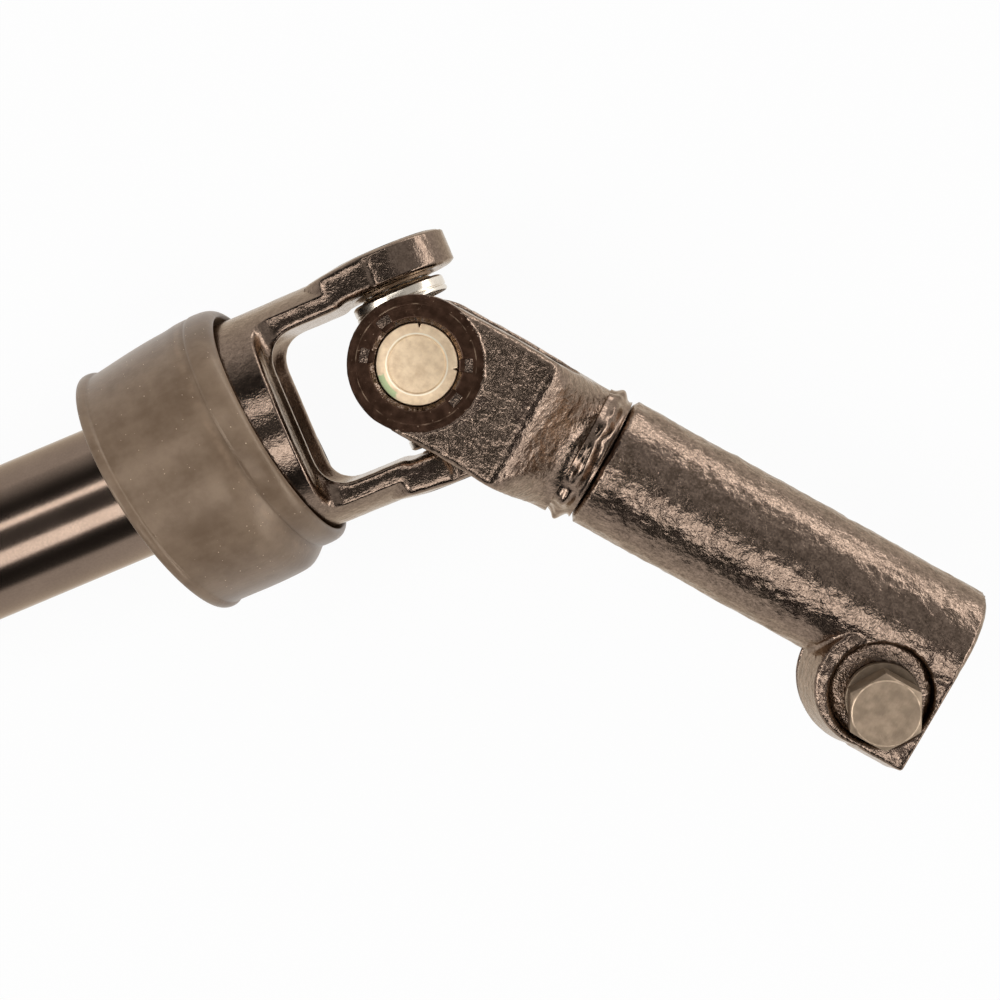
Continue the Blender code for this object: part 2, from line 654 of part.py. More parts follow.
def weld_bead(name, parent, start, width, root_r, crest_r, ripples, look):
    """Weld laid round a joint: a ridge with a valley behind it, rippled by its pools."""
    bm = bmesh.new()
    rings = []
    for way, rise in WELD_PROFILE:
        ring = []
        for i in range(MEDIUM):
            turn = math.tau * i / MEDIUM
            lump = 1 + WELD_RIPPLE * math.sin(ripples * turn) - WELD_WANDER * math.cos(3 * turn)
            radius = root_r + (crest_r - root_r) * rise * lump
            ring.append(bm.verts.new((start + width * way, radius * math.cos(turn), radius * math.sin(turn))))
        rings.append(ring)
    ring_faces(bm, rings, True)
    return add_object(name, bm, parent, look)


def splined_bore(body, name, parent, end, depth):
    """Splines at the mouth of a clamp bore: a toothed cutter that runs in from the end face."""
    outline = []
    for i in range(SPLINE_COUNT):
        for start, radius in ((0.0, COUPLING_BORE_R), (0.5, COUPLING_BORE_R + SPLINE_HEIGHT)):
            for share in (start, start + SPLINE_LAND):
                turn = math.tau * (i + share) / SPLINE_COUNT
                outline.append((radius * math.cos(turn), radius * math.sin(turn)))
    bore = prism(outline, end - depth, end + OVERCUT, Matrix.Rotation(math.radians(90), 4, "Y"))
    cut(body, add_object(name + "_spline_bore", bore, parent), "MANIFOLD")


def boss_outline(middle, end, radius):
    """Plan of the clamp boss: round on one side, and cut off square at the end face."""
    outline = arc(middle, radius, 120, 270, BOSS_STEPS)
    return outline + [(end, middle[1] - radius), (end, outline[0][1])]


def clamp_boss(body, name, parent, end):
    """Boss beside a clamp sleeve: bolt hole, head recess and the slot that the bolt closes."""
    middle = (end - BOSS_FROM_END, -BOSS_OUT)
    face = boss_outline(middle, end, BOSS_R)
    widest = boss_outline(middle, end, BOSS_R + BOSS_DRAFT)
    boss = loft([face, widest, face], [-BOSS_HALF_THICKNESS, 0.0, BOSS_HALF_THICKNESS])
    fuse(body, add_object(name + "_boss", boss, parent))

    at_recess = Matrix.Translation((end - RECESS_FROM_END, -RECESS_OUT, 0))
    at_bolt = at_recess @ Matrix.Translation((BOLT_SHIFT_ALONG, -BOLT_SHIFT_OUT, 0))
    reach = BOSS_HALF_THICKNESS + OVERCUT
    hole = cylinder(BOLT_HOLE_R, -reach, reach, COARSE, at_bolt @ ALONG_Z)
    recess = cylinder(RECESS_R, BOSS_HALF_THICKNESS - RECESS_DEPTH, reach, FINE, at_recess @ ALONG_Z)
    room = BOSS_R + BOSS_DRAFT + OVERCUT
    slot = box((middle[0] - room, middle[1] - room, -PINCH_SLOT / 2), (end + OVERCUT, 0.0, PINCH_SLOT / 2))
    return hole, recess, slot


def clamp_sleeve_cuts(body, name, parent, end, depth, parts):
    hole, recess, slot = parts
    splined_bore(body, name, parent, end, depth)
    cut(body, add_object(name + "_recess", recess, parent), "MANIFOLD")
    cut(body, add_object(name + "_bolt_hole", hole, parent), "MANIFOLD")
    cut(body, add_object(name + "_slot", slot, parent), "MANIFOLD")


def clamp_coupling(name, parent):
    """Forged sleeve welded to the fork, with a splined clamp at its end."""
    edge = COUPLING_EDGE
    profile = [
        (COUPLING_START, 0), (COUPLING_START, COUPLING_R - edge), (COUPLING_START + edge, COUPLING_R),
        (COUPLING_END - edge, COUPLING_R), (COUPLING_END, COUPLING_R - edge), (COUPLING_END, 0),
    ]
    sleeve = add_object(name, turned(profile, FINE), parent, FORGED_BLACK)
    parts = clamp_boss(sleeve, name, parent, COUPLING_END)
    bottom = COUPLING_START + COUPLING_SOCKET
    socket = cylinder(FORK_SPIGOT_R + SEAT_GAP, COUPLING_START - OVERCUT, bottom, MEDIUM)
    cut(sleeve, add_object(name + "_socket", socket, parent))
    clamp_sleeve_cuts(sleeve, name, parent, COUPLING_END, SPLINE_DEPTH, parts)
    return sleeve


def pinch_bolt(bolt_name, washer_name, parent, end):
    """Hex bolt through the clamp boss, leaning in its hole, with a spring washer under its head."""
    floor = BOSS_HALF_THICKNESS - RECESS_DEPTH
    hole_x = end - RECESS_FROM_END + BOLT_SHIFT_ALONG
    hole_y = -RECESS_OUT - BOLT_SHIFT_OUT
    middle = (floor - BOSS_HALF_THICKNESS) / 2
    lean = Matrix.Rotation(BOLT_TILT, 4, "X")
    place = Matrix.Translation((hole_x, hole_y, middle)) @ lean @ Matrix.Translation((0, 0, -middle))
    seat = floor + SEAT_GAP
    under_head = seat + WASHER_HEIGHT + BOLT_LIFT
    top = under_head + BOLT_HEAD
    tip = -BOSS_HALF_THICKNESS - BOLT_OVERHANG
    neck = under_head + BOLT_CHAMFER

    corner_r = BOLT_AF / math.sqrt(3)
    corners = [BOLT_TURN + math.tau * i / 6 for i in range(6)]
    hexagon = [(corner_r * math.cos(turn), corner_r * math.sin(turn)) for turn in corners]
    bolt = add_object(bolt_name, prism(hexagon, under_head, top, place), parent, BOLT_STEEL)
    slope = corner_r - BOLT_AF / 2
    crown = [(under_head - OVERCUT, 0), (under_head - OVERCUT, corner_r + slope)]
    crown += [(top - BOLT_CHAMFER, corner_r + slope), (top + OVERCUT, BOLT_AF / 2 - 2 * OVERCUT)]
    crown += [(top + OVERCUT, 0)]
    cap = turned(crown, FINE)
    bmesh.ops.transform(cap, matrix=place @ ALONG_Z, verts=cap.verts)
    keep_inside(bolt, add_object(bolt_name + "_crown", cap, parent))
    shank = [(tip, 0), (tip, BOLT_R - BOLT_CHAMFER), (tip + BOLT_CHAMFER, BOLT_R), (neck, BOLT_R), (neck, 0)]
    stem = turned(shank, COARSE)
    bmesh.ops.transform(stem, matrix=place @ ALONG_Z, verts=stem.verts)
    fuse(bolt, add_object(bolt_name + "_shank", stem, parent), "MANIFOLD")

    washer_y = hole_y - (seat + WASHER_HEIGHT / 2 - middle) * math.tan(BOLT_TILT) + WASHER_SLIP
    bm = bmesh.new()
    rings = []
    for i in range(MEDIUM + 1):
        turn = WASHER_GAP_ANGLE / 2 + (math.tau - WASHER_GAP_ANGLE) * i / MEDIUM
        ring = []
        for radius, height in ((WASHER_BORE_R, 0.0), (WASHER_R, 0.0), (WASHER_R, WASHER_HEIGHT),
                               (WASHER_BORE_R, WASHER_HEIGHT)):
            x = hole_x + radius * math.cos(turn)
            y = washer_y + radius * math.sin(turn)
            ring.append(bm.verts.new((x, y, seat + height)))
        rings.append(ring)
    ring_faces(bm, rings, False)
    bm.faces.new(rings[0])
    bm.faces.new(rings[-1])
    add_object(washer_name, bm, parent, BOLT_STEEL)


def lower_fork(name, parent):
    hub_end = WELD_START - SEAT_GAP
    fork = fork_forging(name, parent, COUPLING_R, FORK_NECK_START, hub_end, FORGED_BLACK, FORK_NECK_SHIFT)
    spot_faces(fork, name, parent)
    fork_window(fork, name, parent)
    start = hub_end - OVERCUT
    end = COUPLING_START + FORK_SPIGOT_LENGTH
    spigot = cylinder(FORK_SPIGOT_R, start, end, MEDIUM)
    fuse(fork, add_object(name + "_spigot", spigot, parent))
    ear_details(fork, parent, (0, 0, 1), name)
    return fork


def outer_tube(name, parent):
    front = -YOKE_WINDOW_DEPTH - YOKE_HUB_LENGTH - SEAT_GAP
    back = front - TUBE_LENGTH
    inside = TUBE_R - TUBE_WALL
    tube = turned([(front, inside), (front, TUBE_R), (back, TUBE_R), (back, inside)], FINE, closed=True)
    add_object(name, tube, parent, GLOSS_BLACK)
    return back


def double_d(radius, flat):
    """Outline of a round bar with two flats, facing +Y and -Y."""
    limit = math.degrees(math.asin(flat / radius))
    right = arc((0, 0), radius, -limit, limit, ARC_STEPS)
    left = arc((0, 0), radius, 180 - limit, 180 + limit, ARC_STEPS)
    return right + left


def slip_pieces(parent, tube_back):
    """Nylon bushing in the tube's mouth and the wiper cap over it."""
    outside = TUBE_R - TUBE_WALL - SEAT_GAP
    hole_r = INNER_R + RUNNING_GAP
    hole_flat = INNER_FLAT + RUNNING_GAP
    end = tube_back - SEAT_GAP
    profile = [(end + BUSHING_LENGTH, 0), (end + BUSHING_LENGTH, outside), (end, outside)]
    profile += [(end, TUBE_R), (end - BUSHING_FLANGE, TUBE_R), (end - BUSHING_FLANGE, 0)]
    bushing = add_object("slip_bushing", turned(list(reversed(profile)), MEDIUM), parent, NYLON)
    low = end - BUSHING_FLANGE - OVERCUT
    hole = prism(double_d(hole_r, hole_flat), low, end + BUSHING_LENGTH + OVERCUT, ALONG_TUBE)
    cut(bushing, add_object("slip_bushing_hole", hole, parent))

    skirt_r = TUBE_R + SEAT_GAP
    face = end - BUSHING_FLANGE - SEAT_GAP
    profile = [(face + SEAL_CAP_SKIRT, skirt_r), (face + SEAL_CAP_SKIRT, SEAL_CAP_R)]
    profile += [(face - SEAL_CAP_FACE + SEAL_CAP_EDGE, SEAL_CAP_R)]
    profile += [(face - SEAL_CAP_FACE, SEAL_CAP_R - SEAL_CAP_EDGE)]
    profile += [(face - SEAL_CAP_FACE, hole_r), (face, hole_r), (face, skirt_r)]
    add_object("slip_seal", turned(profile, MEDIUM, closed=True), parent, SEAL_RUBBER)
    return face - SEAL_CAP_FACE


def inner_shaft(parent, tube_back, upper_centre):
    """Double-D bar that slides in the bushing and carries the upper yoke."""
    socket_start = upper_centre + UPPER_HUB_END
    near_end = tube_back + INNER_IN_TUBE
    bar = prism(double_d(INNER_R, INNER_FLAT), socket_start - UPPER_SOCKET + SEAT_GAP, near_end, ALONG_TUBE)
    return add_object("inner_shaft", bar, parent, BRIGHT_STEEL)


def upper_shaft_yoke(name, parent):
    """Yoke on the inner shaft. Its ears lie in phase with those of the tube yoke."""
    yoke = fork_forging(name, parent, UPPER_HUB_R, UPPER_NECK_START, UPPER_HUB_END, FORGED_BLACK)
    spot_faces(yoke, name, parent)
    fork_window(yoke, name, parent)
    socket = prism(double_d(INNER_R + SEAT_GAP, INNER_FLAT + SEAT_GAP), UPPER_HUB_END - UPPER_SOCKET,
                   UPPER_HUB_END + OVERCUT, Matrix.Rotation(math.radians(90), 4, "X") @ ALONG_TUBE)
    cut(yoke, add_object(name + "_socket", socket, parent))
    ear_details(yoke, parent, (0, 0, 1), name)
    return yoke


def upper_clamp_yoke(name, parent):
    """Yoke for the steering column: one forging with a splined clamp."""
    yoke = fork_forging(name, parent, UPPER_CLAMP_R, UPPER_NECK_START, UPPER_CLAMP_END, FORGED_BLACK)
    parts = clamp_boss(yoke, name, parent, UPPER_CLAMP_END)
    spot_faces(yoke, name, parent)
    fork_window(yoke, name, parent)
    clamp_sleeve_cuts(yoke, name, parent, UPPER_CLAMP_END, UPPER_SPLINE_DEPTH, parts)
    ear_details(yoke, parent, (0, 0, 1), name)
    return yoke


def joint_kit(prefix, cross_parent, first, second):
    """Cross, seals, cups and needles. first and second are (parent, axis, cup names) of the two yokes."""
    cross(prefix + "_cross", cross_parent)
    for axis, label in (((0, 1, 0), "top"), ((0, -1, 0), "bottom"), ((0, 0, 1), "near"), ((0, 0, -1), "far")):
        seal_ring(prefix + "_seal_" + label, cross_parent, axis)
    for parent, axis, names in (first, second):
        opposite = tuple(-a for a in axis)
        bearing(names[0] + "_cup_" + names[1], names[0] + "_needles_" + names[1], parent, axis)
        bearing(names[0] + "_cup_" + names[2], names[0] + "_needles_" + names[2], parent, opposite)


def seat_on_ground(root):
    """Move the whole shaft so that its box stands centred on the origin, base at Z = 0."""
    bpy.context.view_layer.update()
    depsgraph = bpy.context.evaluated_depsgraph_get()
    low = Vector((math.inf,) * 3)
    high = Vector((-math.inf,) * 3)
    for item in bpy.context.scene.objects:
        if item.type != "MESH" or item.hide_render:
            continue
        shown = item.evaluated_get(depsgraph)
        for vertex in shown.data.vertices:
            place = shown.matrix_world @ vertex.co
            low = Vector(map(min, low, place))
            high = Vector(map(max, high, place))
    middle = (low + high) / 2
    root.location = (-middle.x, -middle.y, -low.z)
    bpy.context.view_layer.update()


def build():
    clear_scene()
    root = empty("steering_shaft")
    lower_pitch = empty("lower_pitch_axis", root, Matrix.Rotation(LOWER_PITCH, 4, "Y"))
    lower_bend = empty("lower_bend_axis", lower_pitch, Matrix.Rotation(LOWER_BEND, 4, "Z"))

    tube_yoke("lower_tube_yoke", root)
    tube_back = outer_tube("outer_tube", root)
    weld_at = -YOKE_WINDOW_DEPTH - YOKE_HUB_LENGTH - SEAT_GAP - TUBE_WELD_SIZE
    weld_bead("tube_weld_bead", root, weld_at, TUBE_WELD_SIZE, TUBE_R + SEAT_GAP,
              TUBE_R + TUBE_WELD_SIZE, 16, WELD_METAL)
    rubber_boot("rubber_boot", root)
    seal_back = slip_pieces(root, tube_back)

    lower_fork("lower_fork", lower_bend)
    weld_bead("fork_weld_bead", lower_bend, WELD_START, WELD_WIDTH, WELD_ROOT_R,
              COUPLING_R + WELD_RISE, 13, WELD_METAL)
    clamp_coupling("clamp_coupling", lower_bend)
    pinch_bolt("pinch_bolt", "bolt_washer", lower_bend, COUPLING_END)
    joint_kit("lower", lower_pitch, (root, (0, 1, 0), ("tube", "top", "bottom")),
              (lower_bend, (0, 0, 1), ("fork", "near", "far")))

    upper_centre = seal_back - INNER_OUT_OF_TUBE - UPPER_HUB_END
    slide = empty("telescope_axis", root)
    inner_shaft(slide, tube_back, upper_centre)
    facing_tube = Matrix.Rotation(math.radians(90), 4, "X")
    at_upper = Matrix.Translation((upper_centre, 0, 0))
    shaft_yoke_at = empty("upper_shaft_yoke_axis", slide, at_upper @ facing_tube)
    upper_shaft_yoke("upper_shaft_yoke", shaft_yoke_at)
    weld_bead("upper_weld_bead", slide, upper_centre + UPPER_HUB_END + SEAT_GAP, UPPER_WELD_WIDTH,
              INNER_R + SEAT_GAP, INNER_R + UPPER_WELD_RISE, 11, WELD_METAL)
    upper_pitch = empty("upper_pitch_axis", slide, at_upper)
    upper_bend = empty("upper_bend_axis", upper_pitch, Matrix.Rotation(math.pi, 4, "Z"))
    upper_clamp_yoke("upper_clamp_yoke", upper_bend)
    pinch_bolt("upper_pinch_bolt", "upper_bolt_washer", upper_bend, UPPER_CLAMP_END)
    upper_cups = empty("upper_cups_axis", slide, at_upper)
    joint_kit("upper", upper_pitch, (upper_cups, (0, 1, 0), ("shaft", "top", "bottom")),
              (upper_bend, (0, 0, 1), ("clamp", "near", "far")))
    seat_on_ground(root)


build()
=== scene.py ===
import json
import math
import bmesh
import bpy
import numpy as np
from mathutils import Matrix, Vector


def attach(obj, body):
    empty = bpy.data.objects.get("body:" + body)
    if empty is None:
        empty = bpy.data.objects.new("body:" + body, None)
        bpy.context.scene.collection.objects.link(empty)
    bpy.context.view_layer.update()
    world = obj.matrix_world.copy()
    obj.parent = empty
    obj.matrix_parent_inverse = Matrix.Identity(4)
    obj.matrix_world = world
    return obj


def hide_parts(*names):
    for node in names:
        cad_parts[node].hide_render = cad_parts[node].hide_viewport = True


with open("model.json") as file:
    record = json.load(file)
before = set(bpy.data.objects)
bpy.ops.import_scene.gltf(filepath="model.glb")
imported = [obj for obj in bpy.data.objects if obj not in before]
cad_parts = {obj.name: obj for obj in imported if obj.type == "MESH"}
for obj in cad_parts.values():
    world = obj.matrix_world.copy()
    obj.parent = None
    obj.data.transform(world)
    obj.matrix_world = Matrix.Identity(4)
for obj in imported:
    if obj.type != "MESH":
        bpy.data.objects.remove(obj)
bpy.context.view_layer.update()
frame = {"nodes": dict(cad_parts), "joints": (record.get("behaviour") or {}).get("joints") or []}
print("frame loaded")

mm = 0.001
joints = {joint["name"]: Vector(joint["pos_m"]) for joint in frame["joints"] if "pos_m" in joint}
restAngles = {"pitch": -3.4, "bend": -51.65}    # degrees, how the lower joint lies


def turnAbout(axis, degrees):
    return Matrix.Rotation(math.radians(degrees), 4, axis)


def along(axis):
    # turns local X onto the given axis
    return Vector((1, 0, 0)).rotation_difference(Vector(axis)).to_matrix().to_4x4()


def newObject(name, data):
    made = bpy.data.objects.new(name, data)
    bpy.context.scene.collection.objects.link(made)
    return made


tubeFrame = Matrix.Translation(joints["lower_bend"])
lowerCrossFrame = tubeFrame @ turnAbout("Y", restAngles["pitch"])
forkFrame = lowerCrossFrame @ turnAbout("Z", restAngles["bend"])
upperFrame = Matrix.Translation(joints["upper_bend"])
shaftYokeFrame = upperFrame @ turnAbout("X", 90)
clampFrame = upperFrame @ turnAbout("Z", 180)


# Camera

view = {
    "offset": (0.011501, -0.008893, 0.42992),    # from the lower joint's centre
    "right": (0.92207413, -0.38694, 0.00774),
    "up": (0.38655, 0.91981, -0.06735),
    "back": (0.01894, 0.0651, 0.99770),
    "lens": 64.8,
}
cameraData = bpy.data.cameras.new("productCamera")
cameraData.lens = view["lens"]
cameraData.sensor_width = 36
cameraData.clip_start = 0.01
cameraData.clip_end = 20
camera = newObject("productCamera", cameraData)
cameraPlace = Matrix((view["right"], view["up"], view["back"])).transposed().to_4x4()
cameraPlace.translation = joints["lower_bend"] + Vector(view["offset"])
camera.matrix_world = cameraPlace
bpy.context.scene.camera = camera


# Shader tools

class Signal:
    # a socket that adds its Math nodes as it is used in sums
    def __init__(self, tree, socket=None):
        self.tree = tree
        self.socket = socket

    def node(self, kind, settings=None, sockets=None, output=0):
        made = self.tree.nodes.new(kind)
        for name, value in (settings or {}).items():
            setattr(made, name, value)
        for key, value in (sockets or {}).items():
            if isinstance(value, Signal):
                self.tree.links.new(value.socket, made.inputs[key])
            else:
                made.inputs[key].default_value = value
        return Signal(self.tree, made.outputs[output])

    def math(self, operation, *others):
        # this signal is the first input
        return self.node("ShaderNodeMath", {"operation": operation}, dict(enumerate((self, *others))))

    def __add__(self, other):
        return self.math("ADD", other)

    def __sub__(self, other):
        return self.math("SUBTRACT", other)

    def __rsub__(self, other):
        return self.node("ShaderNodeMath", {"operation": "SUBTRACT"}, {0: other, 1: self})

    def __mul__(self, other):
        return self.math("MULTIPLY", other)

    def __pow__(self, other):
        return self.math("POWER", other)

    __radd__ = __add__
    __rmul__ = __mul__

    def between(self, low, high):
        # 0 below low, 1 above high, smooth between; swap them to turn it round
        sockets = {"Value": self, "From Min": low, "From Max": high}
        return self.node("ShaderNodeMapRange", {"interpolation_type": "SMOOTHSTEP"}, sockets)

    def line(self, centre, outside, inside):
        # 1 up to inside away from centre, 0 from outside on
        return (self - centre).math("ABSOLUTE").between(outside, inside)

    def mixed(self, first, second):
        # colours first where this is 0, second where it is 1
        return self.node("ShaderNodeMix", {"data_type": "RGBA"}, {0: self, 6: first, 7: second}, 2)

    def stretched(self, factors):
        return self.node("ShaderNodeVectorMath", {"operation": "MULTIPLY"}, {0: self, 1: factors})

    def noise(self, size, detail=2.0, roughness=0.5, distortion=0.0):
        # soft random field, one blob per size in millimetres
        sockets = {"Vector": self, "Scale": 1 / size, "Detail": detail}
        sockets.update({"Roughness": roughness, "Distortion": distortion})
        return self.node("ShaderNodeTexNoise", None, sockets)

    def cells(self, size):
        return self.node("ShaderNodeTexVoronoi", None, {"Vector": self, "Scale": 1 / size})

    def parts(self):
        split = self.node("ShaderNodeSeparateXYZ", None, {0: self})
        return [Signal(self.tree, socket) for socket in split.socket.node.outputs]

    def radius(self):
        # distance from the piece's own X axis
        _, y, z = self.parts()
        return (y * y + z * z) ** 0.5

    def toOutput(self, kind):
        end = self.tree.nodes.new(kind)
        self.tree.links.new(self.socket, end.inputs["Surface"])


def emptyMaterial(name):
    made = bpy.data.materials.new(name)
    made.use_nodes = True
    made.node_tree.nodes.clear()
    return made, Signal(made.node_tree)


def newMaterial(name):
    made, start = emptyMaterial(name)
    place = start.node("ShaderNodeTexCoord", output=3)    # the piece's own coordinates
    inMillimetres = {0: place, "Scale": 1 / mm}
    return made, start, place.node("ShaderNodeVectorMath", {"operation": "SCALE"}, inMillimetres)


def surface(start, sockets, height, depth):
    # principled shader with a bump of depth millimetres, joined to the output
    bump = start.node("ShaderNodeBump", None, {"Strength": 1.0, "Distance": depth * mm, "Height": height})
    shader = start.node("ShaderNodeBsdfPrincipled", None, {**sockets, "Normal": bump})
    shader.toOutput("ShaderNodeOutputMaterial")


def colour(values):
    return (*values, 1.0)


# Measures that several pieces share, in millimetres

ear = {
    "face": 28.4, "ring": 15.2, "outer": 15.5, "bore": 9.55, "line": 13.5,
    "counterbore": 10.4, "counterboreDepth": 1.7,
    "clear": 10.9,    # the casting starts this far out, round the counterbore
}
boot = {
    "front": 37.5, "back": 71.0, "frontSkew": 6.8, "backSkew": 8.6, "dip": 6.0, "segments": 200, "wave": 0.10,
    "shiftAt": (37.5, 44.2, 48.7, 68.6), "shift": (-0.5, -0.5, 1.7, 3.5),    # how far its rings hang down
}


# Finishes

paintLooks = {
    "tubePaint": {
        "dark": (0.190, 0.138, 0.106), "brown": (0.240, 0.176, 0.136), "patch": 9.0, "rough": (0.15, 0.19),
        "grainSize": 1.6, "grainDepth": 0.003, "speckSize": 0.5, "speckDepth": 0.002,
    },
    "yokePaint": {
        "dark": (0.130, 0.092, 0.069), "brown": (0.270, 0.198, 0.152), "patch": 1.2, "rough": (0.12, 0.20),
        "grainSize": 0.9, "grainDepth": 0.05, "speckSize": 0.45, "speckDepth": 0.03,
    },
    "forgedPaint": {
        "dark": (0.105, 0.074, 0.055), "brown": (0.330, 0.240, 0.184), "patch": 2.0, "rough": (0.15, 0.26),
        "grainSize": 1.5, "grainDepth": 0.24, "speckSize": 0.6, "speckDepth": 0.06,
    },
    "weldPaint": {
        "dark": (0.130, 0.092, 0.070), "brown": (0.290, 0.212, 0.163), "patch": 1.6, "rough": (0.09, 0.20),
        "grainSize": 1.2, "grainDepth": 0.06, "speckSize": 0.4, "speckDepth": 0.04,
    },
}
warmEdge = (1.0, 0.90, 0.78)    # what bare paint and steel turn to at their outlines


def blackPaint(name):
    look = paintLooks[name]
    made, start, place = newMaterial(name)
    patches = place.noise(look["patch"], 4.0, 0.6)
    grain = place.noise(look["grainSize"], 3.0, 0.6)
    specks = place.noise(look["speckSize"], 2.0, 0.6)
    low, high = look["rough"]
    blend = (patches * 0.5 + specks * 0.5).between(0.3, 0.75)
    surface(start, {
        "Base Color": blend.mixed(colour(look["dark"]), colour(look["brown"])),
        "Metallic": 1.0,
        "Roughness": patches * (high - low) + low,
        "Specular Tint": colour(warmEdge),
    }, grain * look["grainDepth"] + specks * look["speckDepth"], 1.0)
    return made


earLook = {
    "dull": (0.045, 0.022, 0.013), "stain": (0.085, 0.044, 0.028), "worn": (0.32, 0.22, 0.15),
    "stainSize": 2.2, "fleckSize": 0.55, "turning": 9.0,
}


def machinedEar():
    look = earLook
    made, start, place = newMaterial("machinedEar")
    radius = place.radius()
    turning = (radius * look["turning"]).math("SINE")
    stain = place.noise(look["stainSize"], 4.0).between(0.3, 0.75)
    flecks = place.noise(look["fleckSize"], 1.0).between(0.74, 0.80)
    line = radius.line(ear["line"], 0.16, 0.06)
    worn = flecks.math("MAXIMUM", line * place.noise(4.0, 2.0).between(0.42, 0.62))
    dull = stain.mixed(colour(look["dull"]), colour(look["stain"]))
    surface(start, {
        "Base Color": worn.mixed(dull, colour(look["worn"])),
        "Metallic": 0.5,
        "Roughness": stain * 0.08 + 0.18,
        "Specular IOR Level": 0.25,
        "Specular Tint": colour(warmEdge),
    }, turning * 0.4 + flecks - line, 0.012)
    return made


cupLook = {
    # bright is a painted highlight for the cup's bead; wall is a painted shade for the cup's outer rim
    "light": (0.92, 0.72, 0.49), "tan": (0.70, 0.51, 0.33), "bright": (0.98, 0.88, 0.70),
    "green": (0.46, 0.54, 0.30), "wall": (0.20, 0.11, 0.065), "rim": 9.0, "ring": 6.9, "turning": 5.0,
}


def cupSteel(name, painted):
    look = cupLook
    made, start, place = newMaterial(name)
    radius = place.radius()
    mottle = place.noise(2.6, 4.0, 0.6).between(0.3, 0.75)
    fine = place.noise(0.5, 2.0)
    # painted shade: the cup's outer rim and side are darkened where they meet the gap in the bore
    wall = radius.between(look["rim"], look["rim"] + 0.15)
    base = mottle.mixed(colour(look["light"]), colour(look["tan"]))
    # painted highlight: a thin near-white ring laid on the cup's raised bead
    ring = radius.line(look["ring"], 0.22, 0.10)
    base = (ring * 0.9).mixed(base, colour(look["bright"]))
    if painted:
        # a stroke of marking paint that runs over the edge of the cup
        _, y, z = place.parts()
        angle = z.math("ARCTAN2", y) + place.noise(1.4) * 0.35
        stroke = angle.between(2.47, 2.55) * angle.between(3.26, 3.18) * radius.between(7.6, 7.9)
        base = stroke.mixed(base, colour(look["green"]))
    surface(start, {
        # the wall colour here is the painted shade of the gap round the cup
        "Base Color": (wall * 0.75).mixed(base, colour(look["wall"])),
        "Metallic": 0.50,
        "Roughness": fine * 0.16 + 0.36,
        "Specular Tint": colour(warmEdge),
    }, fine + (radius * look["turning"]).math("SINE") * 0.2, 0.02)
    return made


boltLook = {
    # edge is a painted highlight along the head's chamfer
    "dark": (0.165, 0.120, 0.083), "light": (0.36, 0.27, 0.19), "edge": (0.66, 0.50, 0.36),
    "chamfer": 7.72, "scratch": (1.0, 0.12, 1.0),
}


def boltSteel():
    look = boltLook
    made, start, place = newMaterial("boltSteel")
    # painted highlight: a lighter line, broken by noise, where the top of the head meets its chamfer
    edge = place.radius().line(look["chamfer"], 0.24, 0.06) * place.noise(2.4).between(0.25, 0.6)
    scratches = place.stretched(look["scratch"]).noise(0.35, 3.0, 0.65)
    stain = place.noise(3.2, 3.0).between(0.3, 0.75)
    base = (stain * 0.6 + scratches * 0.4).mixed(colour(look["dark"]), colour(look["light"]))
    surface(start, {
        "Base Color": edge.mixed(base, colour(look["edge"])),
        "Metallic": 0.70,
        "Roughness": scratches * 0.2 + 0.34,
        "Specular Tint": colour(warmEdge),
    }, scratches, 0.03)
    return made


rubberLook = {
    "brown": (0.118, 0.076, 0.048), "grey": (0.225, 0.160, 0.110), "dust": (0.72, 0.55, 0.39),
    "seam": (0.26, 0.18, 0.12), "sheen": (0.95, 0.74, 0.54), "tint": (1.0, 0.80, 0.62),
    "dustSize": 1.25, "dustShare": 0.095, "streak": (0.16, 1.0, 1.0), "groove": 43.7, "skew": 7.1,
}


def bootRubber():
    look = rubberLook
    made, start, place = newMaterial("bootRubber")
    x, y, z = place.parts()
    cloud = place.noise(11.0, 4.0, 0.65).between(0.3, 0.7)
    streaks = place.stretched(look["streak"]).noise(2.2, 4.0, 0.6, 0.6)
    fine = place.noise(0.5, 2.0)
    dust = (place.cells(look["dustSize"]) + fine * 0.06).between(look["dustShare"] + 0.045, look["dustShare"])
    dust = dust * place.noise(3.0, 1.0).between(0.5, 0.62)
    depth = x + y * math.tan(math.radians(look["skew"])) + z * math.tan(math.radians(boot["dip"]))
    depth = depth + look["groove"]
    seam = (depth + 1.2 + place.noise(4.0) * 0.8).math("ABSOLUTE").between(1.1, 0.2)
    seam = seam * place.noise(2.5, 3.0).between(0.3, 0.7)
    base = (cloud * 0.7 + streaks * 0.3).mixed(colour(look["brown"]), colour(look["grey"]))
    base = (seam * 0.45).mixed(base, colour(look["seam"]))
    surface(start, {
        "Base Color": dust.mixed(base, colour(look["dust"])),
        "Metallic": 0.0,
        "Roughness": streaks * 0.12 + 0.27,
        "Sheen Weight": 0.12,
        "Sheen Roughness": 0.40,
        "Sheen Tint": colour(look["sheen"]),
        "Specular Tint": colour(look["tint"]),
    }, streaks * 0.5 + dust + fine * 0.4, 0.07)
    return made


